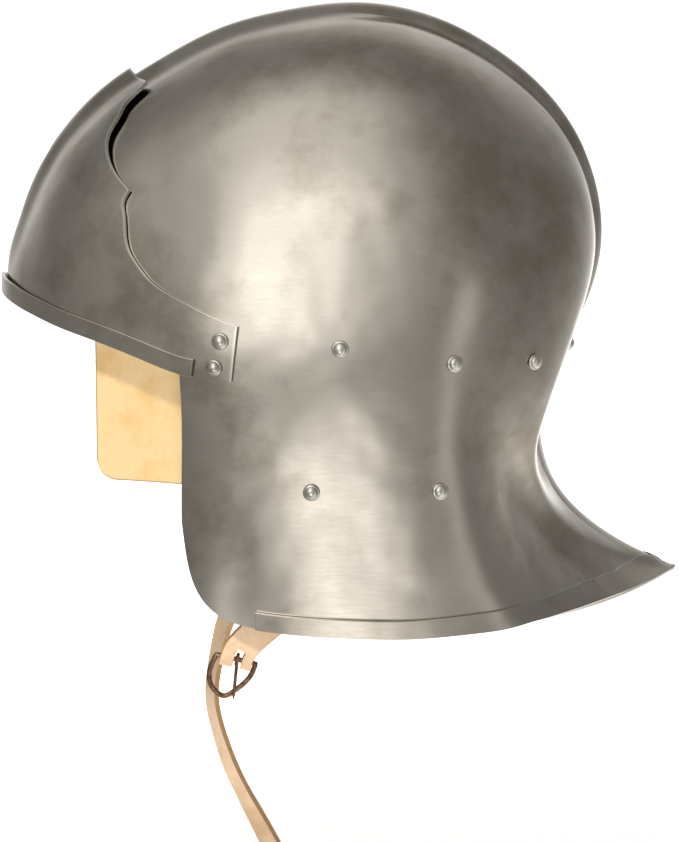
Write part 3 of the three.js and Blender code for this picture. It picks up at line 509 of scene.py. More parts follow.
def scallop(down):
    """Rear edge of the plate: in each run a natural spline through its rows."""
    reach = np.zeros_like(down)
    for run in SCALLOP_RUNS:
        inside = (down >= run[0][0]) & (down <= run[-1][0])
        reach = np.where(inside, natural_spline(run)(down)[..., 0], reach)
    return reach


plate_down = np.concatenate(
    [np.linspace(run[0][0], run[-1][0], n + 1)[:-1] for run, n in zip(SCALLOP_RUNS, RUN_COLUMNS)] + [[1.0]]
)
plate_v = np.concatenate([-plate_down[:0:-1], plate_down])
plate_share = np.append(np.linspace(0, 1, PLATE_ROWS + 1)[:-1] ** PLATE_ROW_POWER, [PLATE_EDGE_ROW, 1])
share_grid, plate_v_grid = np.meshgrid(plate_share, plate_v, indexing="ij")
plate_t = scallop(np.abs(plate_v_grid)) * share_grid
# The rear edge stands clear beside the comb and comes down to the skull at the sides
plate_rise = smooth(share_grid, 0.6, 1) * (1 - smooth(np.abs(plate_v_grid), 0.3, 0.6))
plate_stand = PLATE_CLEARANCE + PLATE_LIFT * plate_rise
# The last row along the rear edge takes the steel's painted highlight
plate_edge_highlight = (share_grid > 0.999).astype(float)
plate_steel = satin_steel("plate_steel", (0.58, 0.535, 0.465), (0.41, 0.365, 0.30), 0.17)
plate = sheet_piece(
    "brow_plate_sheet",
    skull_offset(plate_t, plate_v_grid, plate_stand + PLATE_STEEL),
    skull_offset(plate_t, plate_v_grid, plate_stand),
    tint=plate_edge_highlight,
)
round_edges(plate, 0.0006)
fit(plate, "helmet", ["brow_plate"], plate_steel)

# Edge bands
# Strips of steel laid outside the edges and fixed down. The brow strip lies straight across the plate
# and bridges the hollow beside the comb; the rim strip runs from cheek to cheek round the tail.
BAND_HEIGHT = 0.008
BAND_STEEL = 0.0018
GAP = 0.0004
TAIL_THINNING = 0.75
THINNING_FROM = 0.85
THINNING_TO = 0.97
# Strength of the painted highlight along the upper edges of both bands
BAND_EDGE_HIGHLIGHT = 0.6
BROW_BAND_END = 0.251
RIM_BAND_START = 0.331
RIM_BAND_TOP = [
    # t, v of the upper edge
    [RIM_BAND_START, 1.926],
    [0.480, 1.925],
    [0.592, 1.915],
    [0.708, 1.900],
    [0.800, 1.882],
    [0.865, 1.850],
    [0.915, 1.790],
    [0.950, 1.660],
    [0.972, 1.350],
    [0.988, 0.000],
]


def brow_strip(stops, high, out):
    """Points of the brow strip at signed places along the edge of the brow, at a share of its height
    and of its thickness. It stands on the edge and leans from upright in the middle to the plate's own
    slope at the sides."""
    t = np.abs(stops)
    foot = skull_surface(t, np.ones_like(t))
    back = skull_surface(np.maximum(t - 0.002, 0), np.ones_like(t))
    along = unit(skull_surface(t + 0.002, np.ones_like(t)) - back)
    along = np.where((t < 1e-9)[..., None], np.array([1.0, 0, 0]), along)
    rise = unit(np.cross(along, skull_normal(np.maximum(t, 0.0004), np.ones_like(t))))
    rise = np.where(rise[..., 2:] < 0, -rise, rise)
    upright = np.array([0, 0, 1.0]) - along * along[..., 2:]
    up = unit(upright + smooth(t, 0, 0.07)[..., None] * (rise - upright))
    normal = unit(np.cross(along, up))
    stand = PLATE_CLEARANCE + PLATE_STEEL + GAP + out * BAND_STEEL
    points = foot + up * (high * BAND_HEIGHT)[..., None] + normal * stand[..., None]
    points[..., 0] = np.where(t < 1e-9, 0, points[..., 0] * np.sign(stops))
    return points


brow_stops = BROW_BAND_END * np.sign(np.linspace(-1, 1, 181)) * np.abs(np.linspace(-1, 1, 181)) ** 1.5
brow_highs = np.append(np.linspace(0, 0.9, 4), [0.95, 1])
stop_grid, high_grid = np.meshgrid(brow_stops, brow_highs, indexing="ij")
band_steel = satin_steel("band_steel", (0.56, 0.515, 0.445), (0.40, 0.355, 0.29), 0.18)
# The strip's upper edge carries a painted highlight
brow_band = sheet_piece(
    "brow_band_strip",
    brow_strip(stop_grid, high_grid, np.ones_like(stop_grid)),
    brow_strip(stop_grid, high_grid, np.zeros_like(stop_grid)),
    tint=BAND_EDGE_HIGHLIGHT * (high_grid > 0.999),
)
round_edges(brow_band, 0.0004)
fit(brow_band, "helmet", ["brow_band"], band_steel)


def rim_strip(run, rise, out):
    """Points of the rim strip. run goes from -1 at the right cheek through 0 at the tip of the tail to 1
    at the left cheek, rise from the lower to the upper edge, out from its inner to its outer face. The
    strip thins towards the tip."""
    share = 1 - np.abs(run)
    side = np.where(run < 0, -1, 1)
    low = RIM_BAND_START + (1 - RIM_BAND_START) * share
    high = RIM_BAND_START + (RIM_BAND_TOP[-1][0] - RIM_BAND_START) * share
    t = low + (high - low) * rise
    v = 2 + (linear(RIM_BAND_TOP, high) - 2) * rise
    thinning = TAIL_THINNING * smooth(share, THINNING_FROM, THINNING_TO)
    stand = GAP + out * BAND_STEEL * (1 - thinning)
    points = skull_offset(t, v, stand)
    points[..., 0] = np.where(share > 1 - 1e-9, 0, points[..., 0] * side)
    return points


rim_rises = np.append(np.linspace(0, 0.95, 7), [0.97, 1])
run_grid, rise_grid = np.meshgrid(np.linspace(-1, 1, 361), rim_rises, indexing="ij")
# The strip's upper edge carries a painted highlight
rim_band = sheet_piece(
    "rim_band_strip",
    rim_strip(run_grid, rise_grid, np.ones_like(run_grid)),
    rim_strip(run_grid, rise_grid, np.zeros_like(run_grid)),
    tint=BAND_EDGE_HIGHLIGHT * (rise_grid > 0.999),
)
round_edges(rim_band, 0.0004)
fit(rim_band, "helmet", ["rim_band"], band_steel)

# Leather lining
# A band of tan leather riveted inside from temple to temple round the nape. In front of the
# cheeks it stands free as two flaps with rounded corners, with burnished brown edges.
LINING_LEATHER = 0.002
LINING_CLEARANCE = 0.0018
LINING_TOP = 0.504 * SKULL_HEIGHT
LINING_BOTTOM = 0.789 * SKULL_HEIGHT
FLAP_BOTTOM = 0.754 * SKULL_HEIGHT
FLAP_EDGE_Y = 0.37 * SKULL_LENGTH
FLAP_HALF_WIDTH = 0.629 * HALF_WIDTH
FLAP_CORNER = 0.009
AXIS_Y = 0.06 * SKULL_LENGTH
JOIN_BEARING = 137
FIRST_BEARING = 87
LINING_DEPTH = STEEL + LINING_CLEARANCE
EDGE_LINE = 0.0009


def level_spots(bearing, level, t, v):
    """Where on the skull level lines lie at a bearing round an upright axis, in degrees from the back.
    Newton's method in t and v, with the slopes from short steps, started from a nearby answer."""
    angle = np.radians(bearing)

    def miss(t, v):
        """How far a spot lies off the bearing's plane and off the level."""
        p = skull_surface(t, v)
        return p[..., 0] * np.cos(angle) - (p[..., 1] - AXIS_Y) * np.sin(angle), p[..., 2] - level

    for _ in range(20):
        m = miss(t, v)
        mt = [(a - b) / 1e-4 for a, b in zip(miss(t + 1e-4, v), m)]
        mv = [(a - b) / 1e-4 for a, b in zip(miss(t, v + 1e-4), m)]
        det = mt[0] * mv[1] - mv[0] * mt[1]
        t = t - np.clip((m[0] * mv[1] - mv[0] * m[1]) / det, -0.03, 0.03)
        v = v - np.clip((mt[0] * m[1] - m[0] * mt[1]) / det, -0.1, 0.1)
    return t, v


def ridge_spots(level):
    """Where the ridge of the nape crosses each level, by halving the stretch that holds it."""
    low = np.full(level.shape, 0.7)
    high = np.full(level.shape, 0.99)
    for _ in range(40):
        half = (low + high) / 2
        above = skull_surface(half, 0 * half)[..., 2] > level
        low = np.where(above, half, low)
        high = np.where(above, high, half)
    return low, 0 * low


def lining_level(share, bearing):
    """Level of a row of the lining; the lower edge steps down behind the cheeks."""
    bottom = FLAP_BOTTOM + (LINING_BOTTOM - FLAP_BOTTOM) * smooth(JOIN_BEARING - bearing, 0, 16)
    return -(LINING_TOP + (bottom - LINING_TOP) * share)


row_edge = EDGE_LINE / (FLAP_BOTTOM - LINING_TOP)
row_share = np.concatenate([[0, row_edge], np.linspace(0.05, 0.95, 22), [1 - row_edge, 1]])
behind = np.linspace(FIRST_BEARING, 8, 40)
before = np.linspace(FIRST_BEARING, JOIN_BEARING, 24)[1:]
columns = {}
for stretch in (behind, before):
    spot = columns.get(FIRST_BEARING, (0 * row_share + 0.47, 1.02 + 0.45 * row_share))
    for bearing in stretch:
        spot = level_spots(bearing, lining_level(row_share, bearing), *spot)
        columns[float(bearing)] = spot
wall_spots = [columns[bearing] for bearing in sorted(columns, reverse=True)]
wall_spots.append(ridge_spots(lining_level(row_share, 0)))
wall_t, wall_v = (np.stack([spot[k] for spot in wall_spots], 1) for k in (0, 1))
wall_face = skull_normal(wall_t, wall_v)
wall_outer = skull_surface(wall_t, wall_v) - wall_face * LINING_DEPTH
wall_inner = wall_outer - wall_face * LINING_LEATHER

# The flap carries on each level line with a steady bend, and its lower corner is a quarter circle
join = wall_outer[:, :1]
slope = (wall_outer[:, 1:2, 0] - join[..., 0]) / (wall_outer[:, 1:2, 1] - join[..., 1])
flap_reach = join[..., 1] + FLAP_EDGE_Y
edge_share = EDGE_LINE / flap_reach.mean()
ahead = np.concatenate(
    [[1.0, 1 - edge_share], np.linspace(0.975, 0.72, 14), np.linspace(0.68, 0.03, 16)]
)[None, :]
bend = (join[..., 0] - slope * flap_reach - FLAP_HALF_WIDTH) / flap_reach**2
run = flap_reach * ahead
lean = np.arctan(slope + 2 * bend * run)
from_edge = np.maximum(FLAP_CORNER - (flap_reach - run), 0)
corner_lift = FLAP_CORNER - np.sqrt(np.maximum(FLAP_CORNER**2 - from_edge**2, 0))
flap_level = -(LINING_TOP + (FLAP_BOTTOM - corner_lift - LINING_TOP) * row_share[:, None])


def flap_points(depth):
    """The flap's outer face at depth 0: x leaves the wall on a parabola, y runs straight forwards."""
    x = join[..., 0] - slope * run - bend * run**2 - depth * np.cos(lean)
    y = join[..., 1] - run + depth * np.sin(lean)
    return np.stack([x, y, flap_level], -1)


left_outer = np.concatenate([flap_points(0), wall_outer], 1)
left_inner = np.concatenate([flap_points(LINING_LEATHER), wall_inner], 1)
flip = np.array([-1, 1, 1])
lining_outer = np.concatenate([left_outer, (left_outer * flip)[:, -2::-1]], 1)
lining_inner = np.concatenate([left_inner, (left_inner * flip)[:, -2::-1]], 1)
lining_tint = np.zeros(lining_outer.shape[:2])
lining_tint[[0, -1]] = 1
lining_tint[:, [0, -1]] = 1


def tanned_leather(name, light, stain, edge, grain, pores):
    """Leather: mottled tan, a fine pebbled grain, and a darker burnished cut edge."""
    leather = Finish(name, 0.0, 0.62)
    mottle = leather.noise(28, 5)
    colour = leather.ramp(leather.spread(mottle, 0, 1), [(0.0, stain), (0.5, light), (1.0, light)])
    fibre = leather.noise(grain, 6, turn=(30, 0, 15))
    speckled = leather.mix(leather.spread(fibre, 0.0, 0.35, 0.45, 0.75), colour, stain)
    cut = leather.spread(leather.attribute("tint"), 0, 1, 0.15, 0.9)
    leather.link(leather.mix(cut, speckled, edge), leather.shader.inputs["Base Color"])
    leather.link(leather.spread(mottle, 0.52, 0.72), leather.shader.inputs["Roughness"])
    soft = leather.bump(leather.noise(40, 3), 0.0008)
    leather.link(leather.bump(fibre, pores, 0.8, soft), leather.shader.inputs["Normal"])
    return leather.material


lining_leather = tanned_leather(
    "lining_leather", (0.80, 0.57, 0.29), (0.70, 0.41, 0.13), (0.24, 0.11, 0.045), 900, 0.0001
)
lining = sheet_piece("leather_lining", lining_outer, lining_inner, tint=lining_tint)
round_edges(lining, 0.0005)
fit(lining, "helmet", ["lining"], lining_leather)

# Rivets
# Round-headed steel rivets, hammered over washers inside. Two a side hold the brow plate, the others
# hold the lining, and the rear one on each cheek also holds the chin strap.
HEAD_RADIUS = 0.0037
HEAD_DOME = 0.0029
HEAD_HEIGHT = 0.0026
DOME_FOOT = 0.001
STEP_SIDE = 0.0006
STEP_TOP = 0.0009
FOOT_CHAMFER = 0.0002
TOP_CHAMFER = 0.0003
WASHER_CHAMFER = 0.0003
SHANK_RADIUS = 0.0017
WASHER_RADIUS = 0.004
WASHER_THICKNESS = 0.001
WASHER_CLEARANCE = 0.0011
STRAP_LEATHER = 0.0024
STRAP_SPOT = (0.522, 1.385)
STRAP_END = (0.54, 1.365)
RIVETS = [
    # name, t, v, brow plate under the head, leathers inside
    ["brow_upper", 0.292, 0.929, 1, 1],
    ["brow_lower", 0.284, 0.978, 1, 1],
    ["ear_front", 0.4155, 0.934, 0, 1],
    ["ear_rear", 0.537, 0.947, 0, 1],
    ["neck_front", 0.697, 0.829, 0, 1],
    ["neck_rear", 0.805, 0.373, 0, 1],
    ["cheek_front", 0.390, 1.401, 0, 1],
    ["cheek_rear", *STRAP_SPOT, 0, 2],
]


def turned_piece(name, profile, centre, axis, sides=36):
    """Solid of revolution: a profile of radius and height turned round an axis from a centre."""
    axis = np.asarray(axis, float)
    first = unit(np.cross(axis, [0.31, 0.42, 0.85]))
    second = np.cross(axis, first)
    angle = np.linspace(0, 2 * np.pi, sides + 1)
    ring = np.cos(angle)[:, None] * first + np.sin(angle)[:, None] * second
    ring[-1] = ring[0]
    radius, height = np.asarray(profile, float).T
    points = centre + ring[None] * radius[:, None, None] + height[:, None, None] * axis
    number = np.arange(points[..., 0].size).reshape(points.shape[:2])
    faces = np.stack([number[:-1, :-1], number[:-1, 1:], number[1:, 1:], number[1:, :-1]], -1)
    return make_piece(name, points.reshape(-1, 3), faces.reshape(-1, 4))


rivet_steel = satin_steel("rivet_steel", (0.82, 0.79, 0.72), (0.60, 0.56, 0.49), 0.20)
dome = np.linspace(0, np.pi / 2, 12)
for name, t, v, plated, leathers in RIVETS:
    for side, sign in (("left", 1), ("right", -1)):
        seat = PLATE_CLEARANCE + PLATE_STEEL + GAP if plated else GAP
        stack = LINING_DEPTH + LINING_LEATHER + WASHER_CLEARANCE
        deep = -(stack + (leathers - 1) * (STRAP_LEATHER + WASHER_CLEARANCE))
        rise = HEAD_HEIGHT - DOME_FOOT
        head = [(HEAD_DOME * np.cos(a), seat + DOME_FOOT + rise * np.sin(a)) for a in dome]
        profile = [
            (0, deep - WASHER_THICKNESS),
            (WASHER_RADIUS - WASHER_CHAMFER, deep - WASHER_THICKNESS),
            (WASHER_RADIUS, deep - WASHER_THICKNESS + WASHER_CHAMFER),
            (WASHER_RADIUS, deep),
            (SHANK_RADIUS, deep),
            (SHANK_RADIUS, seat),
            (HEAD_RADIUS - FOOT_CHAMFER, seat),
            (HEAD_RADIUS, seat + FOOT_CHAMFER),
            (HEAD_RADIUS, seat + STEP_SIDE),
            (HEAD_RADIUS - TOP_CHAMFER, seat + STEP_TOP),
            *head[:-1],
            (0, seat + HEAD_HEIGHT),
        ]
        centre = skull_surface(t, sign * v)
        rivet = turned_piece(f"{name}_rivet_{side}", profile, centre, skull_normal(t, sign * v))
        rivet.data.set_sharp_from_angle(angle=np.radians(50))
        fit(rivet, "helmet", [f"rivet_{name}_{side}"], rivet_steel)

# Chin strap
# Two straps of thick leather with a rough face, riveted inside the cheeks. The short left one is
# folded round the buckle's bar with a slot for the prong; the long right one hangs free.
STRAP_WIDTH = 0.0145
BUCKLE_X = 0.767 * HALF_WIDTH
BUCKLE_Y = -0.174 * SKULL_LENGTH
BUCKLE_DROP = 1.039 * SKULL_HEIGHT
BAR_TILT = np.radians(14)
BAR_RADIUS = 0.0012
BEND_ABOVE_BAR = 0.006
BEND_REACH = 0.012
SLOT_WIDTH = 0.0038
SLOT_LENGTH = 0.011
PRONG_RADIUS = 0.00075
PRONG_LENGTH = 0.0175
PRONG_ALONG = 0.0005
PRONG_LEAN = 0.0025

# Middle line of the right strap, as shares of half width, length and height; turn in degrees
RIGHT_STRAP = [
    # inset, y, drop, turn
    [0.871, 0.051, 0.814, 0],
    [0.843, -0.022, 0.882, 0],
    [0.812, -0.095, 0.954, 4],
    [0.798, -0.152, 1.021, 42],
    [0.789, -0.185, 1.079, 59],
    [0.786, -0.203, 1.136, 66],
    [0.767, -0.213, 1.189, 70],
    [0.743, -0.218, 1.236, 70],
    [0.729, -0.214, 1.279, 67],
    [0.719, -0.202, 1.329, 64],
    [0.714, -0.188, 1.375, 60],
    [0.714, -0.166, 1.429, 57],
    [0.714, -0.146, 1.473, 53],
    [0.714, -0.126, 1.518, 49],
    [0.714, -0.114, 1.546, 47],
    [0.714, -0.106, 1.564, 46],
]
STRAP_POINT = 0.007

# Places across a strap, from one edge (-1) to the other (1); the middle ones lie where the slot is cut
across_columns = np.concatenate(
    [
        [-1, -0.93],
        np.linspace(-0.8, -0.16, 6),
        np.linspace(-0.1, 0.3, 4),
        np.linspace(0.371, 0.8, 5),
        [0.93, 1],
    ]
)


def side_of(along):
    """Width direction of a strap that lies in the upright fore-and-aft plane: along turned about x."""
    return unit(np.stack([0 * along[..., 0], -along[..., 2], along[..., 1]], -1))


def strap_piece(name, centre, across, face, width, present=None):
    """Strap along a line of centres: at each one a straight row of points across the width, lifted by
    half the leather to either side. The outermost columns and the two ends carry the tint of a cut."""
    spread = across_columns[None, :, None] * width[:, None, None] / 2 * across[:, None]
    middle = centre[:, None] + spread
    lift = face[:, None] * STRAP_LEATHER / 2
    tint = np.zeros(middle.shape[:2])
    tint[:, [0, -1]] = 1
    tint[[0, -1]] = 1
    return sheet_piece(name, middle + lift, middle - lift, present, tint)


def resampled(centre, across, face, count):
    """Evenly spaced stations of a natural spline through centres, widths and faces by their distance."""
    place = np.concatenate([[0], np.cumsum(np.linalg.norm(np.diff(centre, axis=0), axis=1))])
    curve = natural_spline(np.column_stack([place, centre, across, face]))
    stations = curve(np.linspace(0, place[-1], count))
    middle, width_way, face_way = stations[:, :3], unit(stations[:, 3:6]), stations[:, 6:9]
    face_way = unit(face_way - width_way * np.sum(face_way * width_way, -1, keepdims=True))
    return middle, width_way, face_way


strap_depth = LINING_DEPTH + LINING_LEATHER + WASHER_CLEARANCE + STRAP_LEATHER / 2
root_t, root_v = np.array([STRAP_END, STRAP_SPOT]).T
root_face = skull_normal(root_t, root_v)
root_centre = skull_surface(root_t, root_v) - root_face * strap_depth
bar_middle = np.array([BUCKLE_X, BUCKLE_Y, -BUCKLE_DROP])
bar_along = np.array([0, np.cos(BAR_TILT), -np.sin(BAR_TILT)])
bar_down = np.array([0, -np.sin(BAR_TILT), -np.cos(BAR_TILT)])
outwards = np.array([1.0, 0, 0])
wrap_radius = BAR_RADIUS + GAP + STRAP_LEATHER / 2
bend_point = bar_middle - bar_down * BEND_ABOVE_BAR + outwards * wrap_radius
strap_way = unit(bend_point - root_centre[1])
bend_start = bend_point - strap_way * BEND_REACH
fold_top = bar_middle + outwards * wrap_radius

straight = root_centre[1] + np.linspace(0.25, 1, 5)[:, None] * (bend_start - root_centre[1])
straight_across = np.repeat(side_of(strap_way)[None], 5, 0)
upper_part = resampled(
    np.concatenate([root_centre, straight]),
    np.concatenate([unit(np.cross(root_face, strap_way)), straight_across]),
    np.concatenate([root_face, np.cross(strap_way, straight_across)]),
    50,
)
k = np.linspace(0, 1, 30)[1:, None]
bend_centre = bend_start * (1 - k) ** 2 + 2 * bend_point * k * (1 - k) + fold_top * k**2
bend_along = unit((bend_point - bend_start) * (1 - k) + (fold_top - bend_point) * k)
bend_across = side_of(bend_along)
bend_face = np.cross(bend_along, bend_across)
wrap_angle = np.radians(np.linspace(0, 180, 20)[1:-1, None])
wrap_face = np.cos(wrap_angle) * outwards + np.sin(wrap_angle) * bar_down
closing = smooth(1 - k[::-1], 0, 0.8)
behind_by = -2 * wrap_radius + (2 * wrap_radius - STRAP_LEATHER - GAP) * closing
wrap_centre = bar_middle + wrap_face * wrap_radius
back_centre = bend_centre[::-1] + behind_by * outwards
wrap_across = np.repeat(bar_along[None], len(wrap_angle), 0)
left_centre = np.concatenate([upper_part[0], bend_centre, wrap_centre, back_centre])
left_across = np.concatenate([upper_part[1], bend_across, wrap_across, bend_across[::-1]])
left_face = np.concatenate([upper_part[2], bend_face, wrap_face, -bend_face[::-1]])
over_bar = (left_centre[:-1] - bar_middle) @ -bar_down
slot_rows = (np.abs(over_bar) < SLOT_LENGTH / 2) & (np.arange(len(over_bar)) > len(upper_part[0]))
slot_middle = PRONG_ALONG + 0.5 * PRONG_LEAN * (wrap_radius + STRAP_LEATHER / 2) / PRONG_LENGTH
column_middle = (across_columns[:-1] + across_columns[1:]) / 2 * STRAP_WIDTH / 2
slot_columns = np.abs(column_middle - slot_middle) < SLOT_WIDTH / 2
strap_leather = tanned_leather(
    "strap_leather", (0.78, 0.56, 0.36), (0.60, 0.37, 0.20), (0.50, 0.30, 0.14), 420, 0.0004
)
strap_left = strap_piece(
    "buckle_strap",
    left_centre,
    left_across,
    left_face,
    np.full(len(left_centre), STRAP_WIDTH),
    ~(slot_rows[:, None] & slot_columns[None]),
)
round_edges(strap_left, 0.0005)
fit(strap_left, "helmet", ["strap_left"], strap_leather)

right_root = root_centre * flip
inset, right_y, drop, turn = np.asarray(RIGHT_STRAP, float).T
right_free = np.stack([-inset * HALF_WIDTH, right_y * SKULL_LENGTH, -drop * SKULL_HEIGHT], -1)
right_centre = np.concatenate([right_root, right_free])
right_along = unit(np.gradient(right_centre, axis=0))
turn = np.radians(np.concatenate([[0, 0], turn]))[:, None]
right_across = unit(np.sin(turn) * outwards + np.cos(turn) * side_of(right_along))
right_face = np.cross(right_across, right_along)
right_face[:2] = root_face * flip
right_across[:2] = unit(np.cross(right_along[:2], right_face[:2]))
long_centre, long_across, long_face = resampled(right_centre, right_across, right_face, 200)
to_end = np.linalg.norm(np.diff(long_centre, axis=0), axis=1)[::-1].cumsum()[::-1]
past = np.clip(1 - np.append(to_end, 0) / STRAP_POINT, 0, 0.995)
long_width = STRAP_WIDTH * np.sqrt(1 - past**2)
strap_right = strap_piece("free_strap", long_centre, long_across, long_face, long_width)
round_edges(strap_right, 0.0005)
fit(strap_right, "helmet", ["strap_right"], strap_leather)

# Buckle
# A bronze loop drawn out to a point, turning on its own bar in the strap's fold, and a wire prong bent
# round the same bar. The bronze has gone brown and shows brighter in worn patches.
BAR_LENGTH = 0.018
FRAME_DEPTH = 0.0177
FRAME_RADIUS = BAR_RADIUS
# Outline of the loop, as shares of BAR_LENGTH and FRAME_DEPTH
FRAME_OUTLINE = [
    # along, down
    [0.00, 0.00],
    [-0.05, 0.22],
    [-0.06, 0.52],
    [0.00, 0.72],
    [0.20, 0.93],
    [0.42, 1.00],
    [0.66, 0.80],
    [0.86, 0.53],
    [0.97, 0.26],
    [1.00, 0.00],
]


def wire_piece(name, line, radius, loop=False, sides=14):
    """Round wire along a line: a ring of points at each station, square to the mean of the directions
    before and after it. An open wire closes at each end on its middle."""
    before_way = unit(line - np.roll(line, 1, axis=0))
    after_way = unit(np.roll(line, -1, axis=0) - line)
    if not loop:
        before_way[0] = after_way[0]
        after_way[-1] = before_way[-1]
    way = unit(before_way + after_way)
    around_way = np.cross(way, outwards) if loop else unit(np.cross(way, bar_along + 0.001))
    side = unit(np.cross(way, around_way))
    rise = np.cross(way, side)
    angle = np.linspace(0, 2 * np.pi, sides + 1)
    angle[-1] = 0
    ring = np.cos(angle)[None, :, None] * side[:, None] + np.sin(angle)[None, :, None] * rise[:, None]
    points = line[:, None] + ring * np.asarray(radius).reshape(-1, 1, 1)
    if loop:
        points = np.concatenate([points, points[:1]])
    else:
        ends = [np.repeat(line[k][None, None], sides + 1, 1) for k in (0, -1)]
        points = np.concatenate([ends[0], points, ends[1]])
    number = np.arange(points[..., 0].size).reshape(points.shape[:2])
    faces = np.stack([number[:-1, :-1], number[:-1, 1:], number[1:, 1:], number[1:, :-1]], -1)
    return make_piece(name, points.reshape(-1, 3), faces.reshape(-1, 4))


def brown_bronze(name):
    """Bronze under a brown patina that has worn through in patches."""
    bronze = Finish(name, 1.0, 0.36)
    wear = bronze.noise(260, 4)
    tones = [(0.0, (0.12, 0.065, 0.04)), (0.5, (0.30, 0.17, 0.11)), (1.0, (0.62, 0.42, 0.30))]
    colour = bronze.ramp(bronze.spread(wear, 0, 1), tones)
    bronze.link(colour, bronze.shader.inputs["Base Color"])
    bronze.link(bronze.spread(wear, 0.45, 0.26), bronze.shader.inputs["Roughness"])
    bronze.link(bronze.bump(bronze.noise(700, 4), 0.00012), bronze.shader.inputs["Normal"])
    return bronze.material


bronze = brown_bronze("brown_bronze")
outline = np.asarray(FRAME_OUTLINE) * [BAR_LENGTH, FRAME_DEPTH]
outline_place = np.concatenate([[0], np.cumsum(np.linalg.norm(np.diff(outline, axis=0), axis=1))])
loop_curve = natural_spline(np.column_stack([outline_place, outline]))
loop_run = loop_curve(np.linspace(0, outline_place[-1], 64))
bar_run = np.stack([np.linspace(1, 0, 9)[1:-1] * BAR_LENGTH, np.zeros(7)], -1)
around = np.concatenate([loop_run, bar_run])
bar_front = bar_middle - bar_along * BAR_LENGTH / 2
frame_line = bar_front + around[:, :1] * bar_along + around[:, 1:] * bar_down
buckle = wire_piece("buckle_loop", frame_line, np.full(len(frame_line), FRAME_RADIUS), loop=True)
fit(buckle, "buckle_frame", ["buckle_frame"], bronze)

# The prong's eye runs this many degrees round the bar, and its pin tapers over the last stretch
EYE_TURN = 288
TAPER_FROM = 0.85
TAPER_OVER = 0.15
TAPER = 0.55

eye_radius = BAR_RADIUS + GAP + PRONG_RADIUS
eye_middle = bar_middle + bar_along * PRONG_ALONG
turn_angle = np.radians(np.linspace(EYE_TURN, 0, 34))[:, None]
eye_line = eye_middle + eye_radius * (np.cos(turn_angle) * outwards - np.sin(turn_angle) * bar_down)
pin_share = np.linspace(0, 1, 16)[1:, None]
pin_line = eye_line[-1] + pin_share * (bar_down * PRONG_LENGTH + bar_along * PRONG_LEAN)
prong_line = np.concatenate([eye_line, pin_line])
tapered = 1 - TAPER * (pin_share - TAPER_FROM) / TAPER_OVER
pin_radius = PRONG_RADIUS * np.where(pin_share < TAPER_FROM, 1, tapered)
prong_radius = np.concatenate([np.full(len(eye_line), PRONG_RADIUS), pin_radius[:, 0]])
prong = wire_piece("buckle_wire_prong", prong_line, prong_radius)
fit(prong, "buckle_prong", ["buckle_prong"], bronze)

# Studio
# A broad pale floor under the strap's end in a white surround, round soft glows that the steel mirrors
# and one high lamp, with the camera on the wearer's left, a little above the middle of the helmet.
CAMERA_AZIMUTH = np.radians(88)
CAMERA_ELEVATION = np.radians(8)
CAMERA_DISTANCE = 1.150
CAMERA_TARGET = Vector((0.0, -0.0058, -0.1948))
FOCAL_PIXELS = 2415
IMAGE_HEIGHT = 842
SENSOR = 36
FLOOR_REACH = 14
FLOOR_DROP = 0.004
FLOOR_GLOW = 0.84

floor_height = cad_box[0][2] - FLOOR_DROP
floor_mesh = bpy.data.meshes.new("studio_floor")
floor_signs = [(-1, -1), (1, -1), (1, 1), (-1, 1)]
floor_corners = [(x * FLOOR_REACH, y * FLOOR_REACH, floor_height) for x, y in floor_signs]
floor_mesh.from_pydata(floor_corners, [], [(0, 1, 2, 3)])
floor = bpy.data.objects.new("studio_floor", floor_mesh)
bpy.context.scene.collection.objects.link(floor)
floor_paint = Finish("floor_paint", 0.0, 0.9)
floor_tones = [(0.0, (0.90, 0.90, 0.90)), (1.0, (0.93, 0.93, 0.93))]
floor_tone = floor_paint.ramp(floor_paint.noise(2, 2), floor_tones)
floor_paint.link(floor_tone, floor_paint.shader.inputs["Base Color"])
floor_paint.shader.inputs["Emission Color"].default_value = (1, 1, 1, 1)
floor_paint.shader.inputs["Emission Strength"].default_value = FLOOR_GLOW
floor_mesh.materials.append(floor_paint.material)
floor.visible_glossy = False

# Soft boxes that the steel mirrors, each a glow that falls off from its middle
SOFT_BOXES = [
    # bearing from the wearer's left, elevation, tightness, strength
    [-20, 30, 4, 0.4],
    [-20, 10, 50, 1.4],
    [-20, 30, 40, 1.0],
    [-10, -25, 60, 1.7],
    [-40, 60, 12, 0.5],
    [40, 0, 60, 0.4],
    [40, -25, 60, 0.4],
    [170, -10, 30, 1.3],
    [170, 30, 12, 0.4],
    [-160, 10, 12, 0.4],
    [160, -60, 4, 1.5],
    [30, -45, 12, 0.5],
]
STUDIO_DARK = 0.2
FILL = 0.16

world = bpy.data.worlds.new("studio_surround")
world.use_nodes = True
bpy.context.scene.world = world
air = world.node_tree


def glow(way, bearing, elevation, tightness, strength):
    """Strength times e to the power of tightness times the cosine of the angle to the middle less 1."""
    turned = np.radians(bearing)
    raised = np.radians(elevation)
    middle = (np.cos(raised) * np.cos(turned), np.cos(raised) * np.sin(turned), np.sin(raised))
    facing = air.nodes.new("ShaderNodeVectorMath")
    facing.operation = "DOT_PRODUCT"
    facing.inputs[1].default_value = middle
    air.links.new(way, facing.inputs[0])
    power = air.nodes.new("ShaderNodeMath")
    power.operation = "MULTIPLY_ADD"
    power.inputs[1].default_value = tightness
    power.inputs[2].default_value = -tightness
    air.links.new(facing.outputs["Value"], power.inputs[0])
    bell = air.nodes.new("ShaderNodeMath")
    bell.operation = "EXPONENT"
    air.links.new(power.outputs["Value"], bell.inputs[0])
    scaled = air.nodes.new("ShaderNodeMath")
    scaled.operation = "MULTIPLY"
    scaled.inputs[1].default_value = strength
    air.links.new(bell.outputs["Value"], scaled.inputs[0])
    return scaled.outputs["Value"]


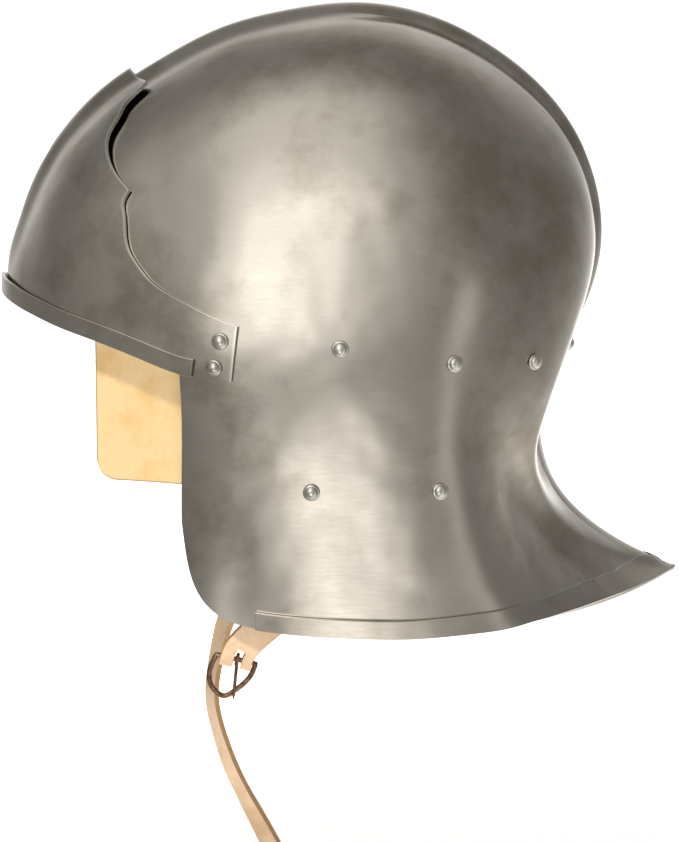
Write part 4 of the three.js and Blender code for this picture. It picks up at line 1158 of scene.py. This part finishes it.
def background(colour, strength):
    """An even background of one colour."""
    node = air.nodes.new("ShaderNodeBackground")
    node.inputs["Color"].default_value = (*colour, 1)
    node.inputs["Strength"].default_value = strength
    return node


# White where the camera looks past the helmet, the glows where a surface mirrors, a dim fill elsewhere
way = air.nodes.new("ShaderNodeTexCoord").outputs["Generated"]
mirrored = background((1.0, 0.99, 0.965), 1.0)
level = air.nodes.new("ShaderNodeValue").outputs["Value"]
level.default_value = STUDIO_DARK
for row in SOFT_BOXES:
    total = air.nodes.new("ShaderNodeMath")
    air.links.new(level, total.inputs[0])
    air.links.new(glow(way, *row), total.inputs[1])
    level = total.outputs["Value"]
air.links.new(level, mirrored.inputs["Strength"])
white = background((1, 1, 1), 1.0)
fill = background((1, 1, 1), FILL)
seen = air.nodes.new("ShaderNodeLightPath")
for_steel = air.nodes.new("ShaderNodeMixShader")
air.links.new(seen.outputs["Is Glossy Ray"], for_steel.inputs["Fac"])
air.links.new(fill.outputs["Background"], for_steel.inputs[1])
air.links.new(mirrored.outputs["Background"], for_steel.inputs[2])
for_camera = air.nodes.new("ShaderNodeMixShader")
air.links.new(seen.outputs["Is Camera Ray"], for_camera.inputs["Fac"])
air.links.new(for_steel.outputs["Shader"], for_camera.inputs[1])
air.links.new(white.outputs["Background"], for_camera.inputs[2])
air.links.new(for_camera.outputs["Shader"], air.nodes["World Output"].inputs["Surface"])

KEY_PLACE = (0.8, -0.4, 1.65)
KEY_STRENGTH = 3.0
KEY_SPREAD = np.radians(5)
key_light = bpy.data.lights.new("key_lamp", "SUN")
key_light.energy = KEY_STRENGTH
key_light.angle = KEY_SPREAD
key_light.color = (1.0, 0.98, 0.94)
key = bpy.data.objects.new("key_lamp", key_light)
key.location = KEY_PLACE
key.rotation_euler = (-Vector(KEY_PLACE)).to_track_quat("-Z", "Y").to_euler()
key.visible_glossy = False
bpy.context.scene.collection.objects.link(key)

eye = bpy.data.cameras.new("photo_camera")
eye.sensor_width = SENSOR
eye.lens = FOCAL_PIXELS / IMAGE_HEIGHT * SENSOR
camera = bpy.data.objects.new("photo_camera", eye)
level_reach = CAMERA_DISTANCE * np.cos(CAMERA_ELEVATION)
sideways = level_reach * np.sin(CAMERA_AZIMUTH)
forwards = -level_reach * np.cos(CAMERA_AZIMUTH)
upwards = CAMERA_DISTANCE * np.sin(CAMERA_ELEVATION)
back = Vector((sideways, forwards, upwards))
camera.location = CAMERA_TARGET + back
camera.rotation_euler = (-back).to_track_quat("-Z", "Y").to_euler()
bpy.context.scene.collection.objects.link(camera)
bpy.context.scene.camera = camera
bpy.context.scene.view_settings.view_transform = "Standard"
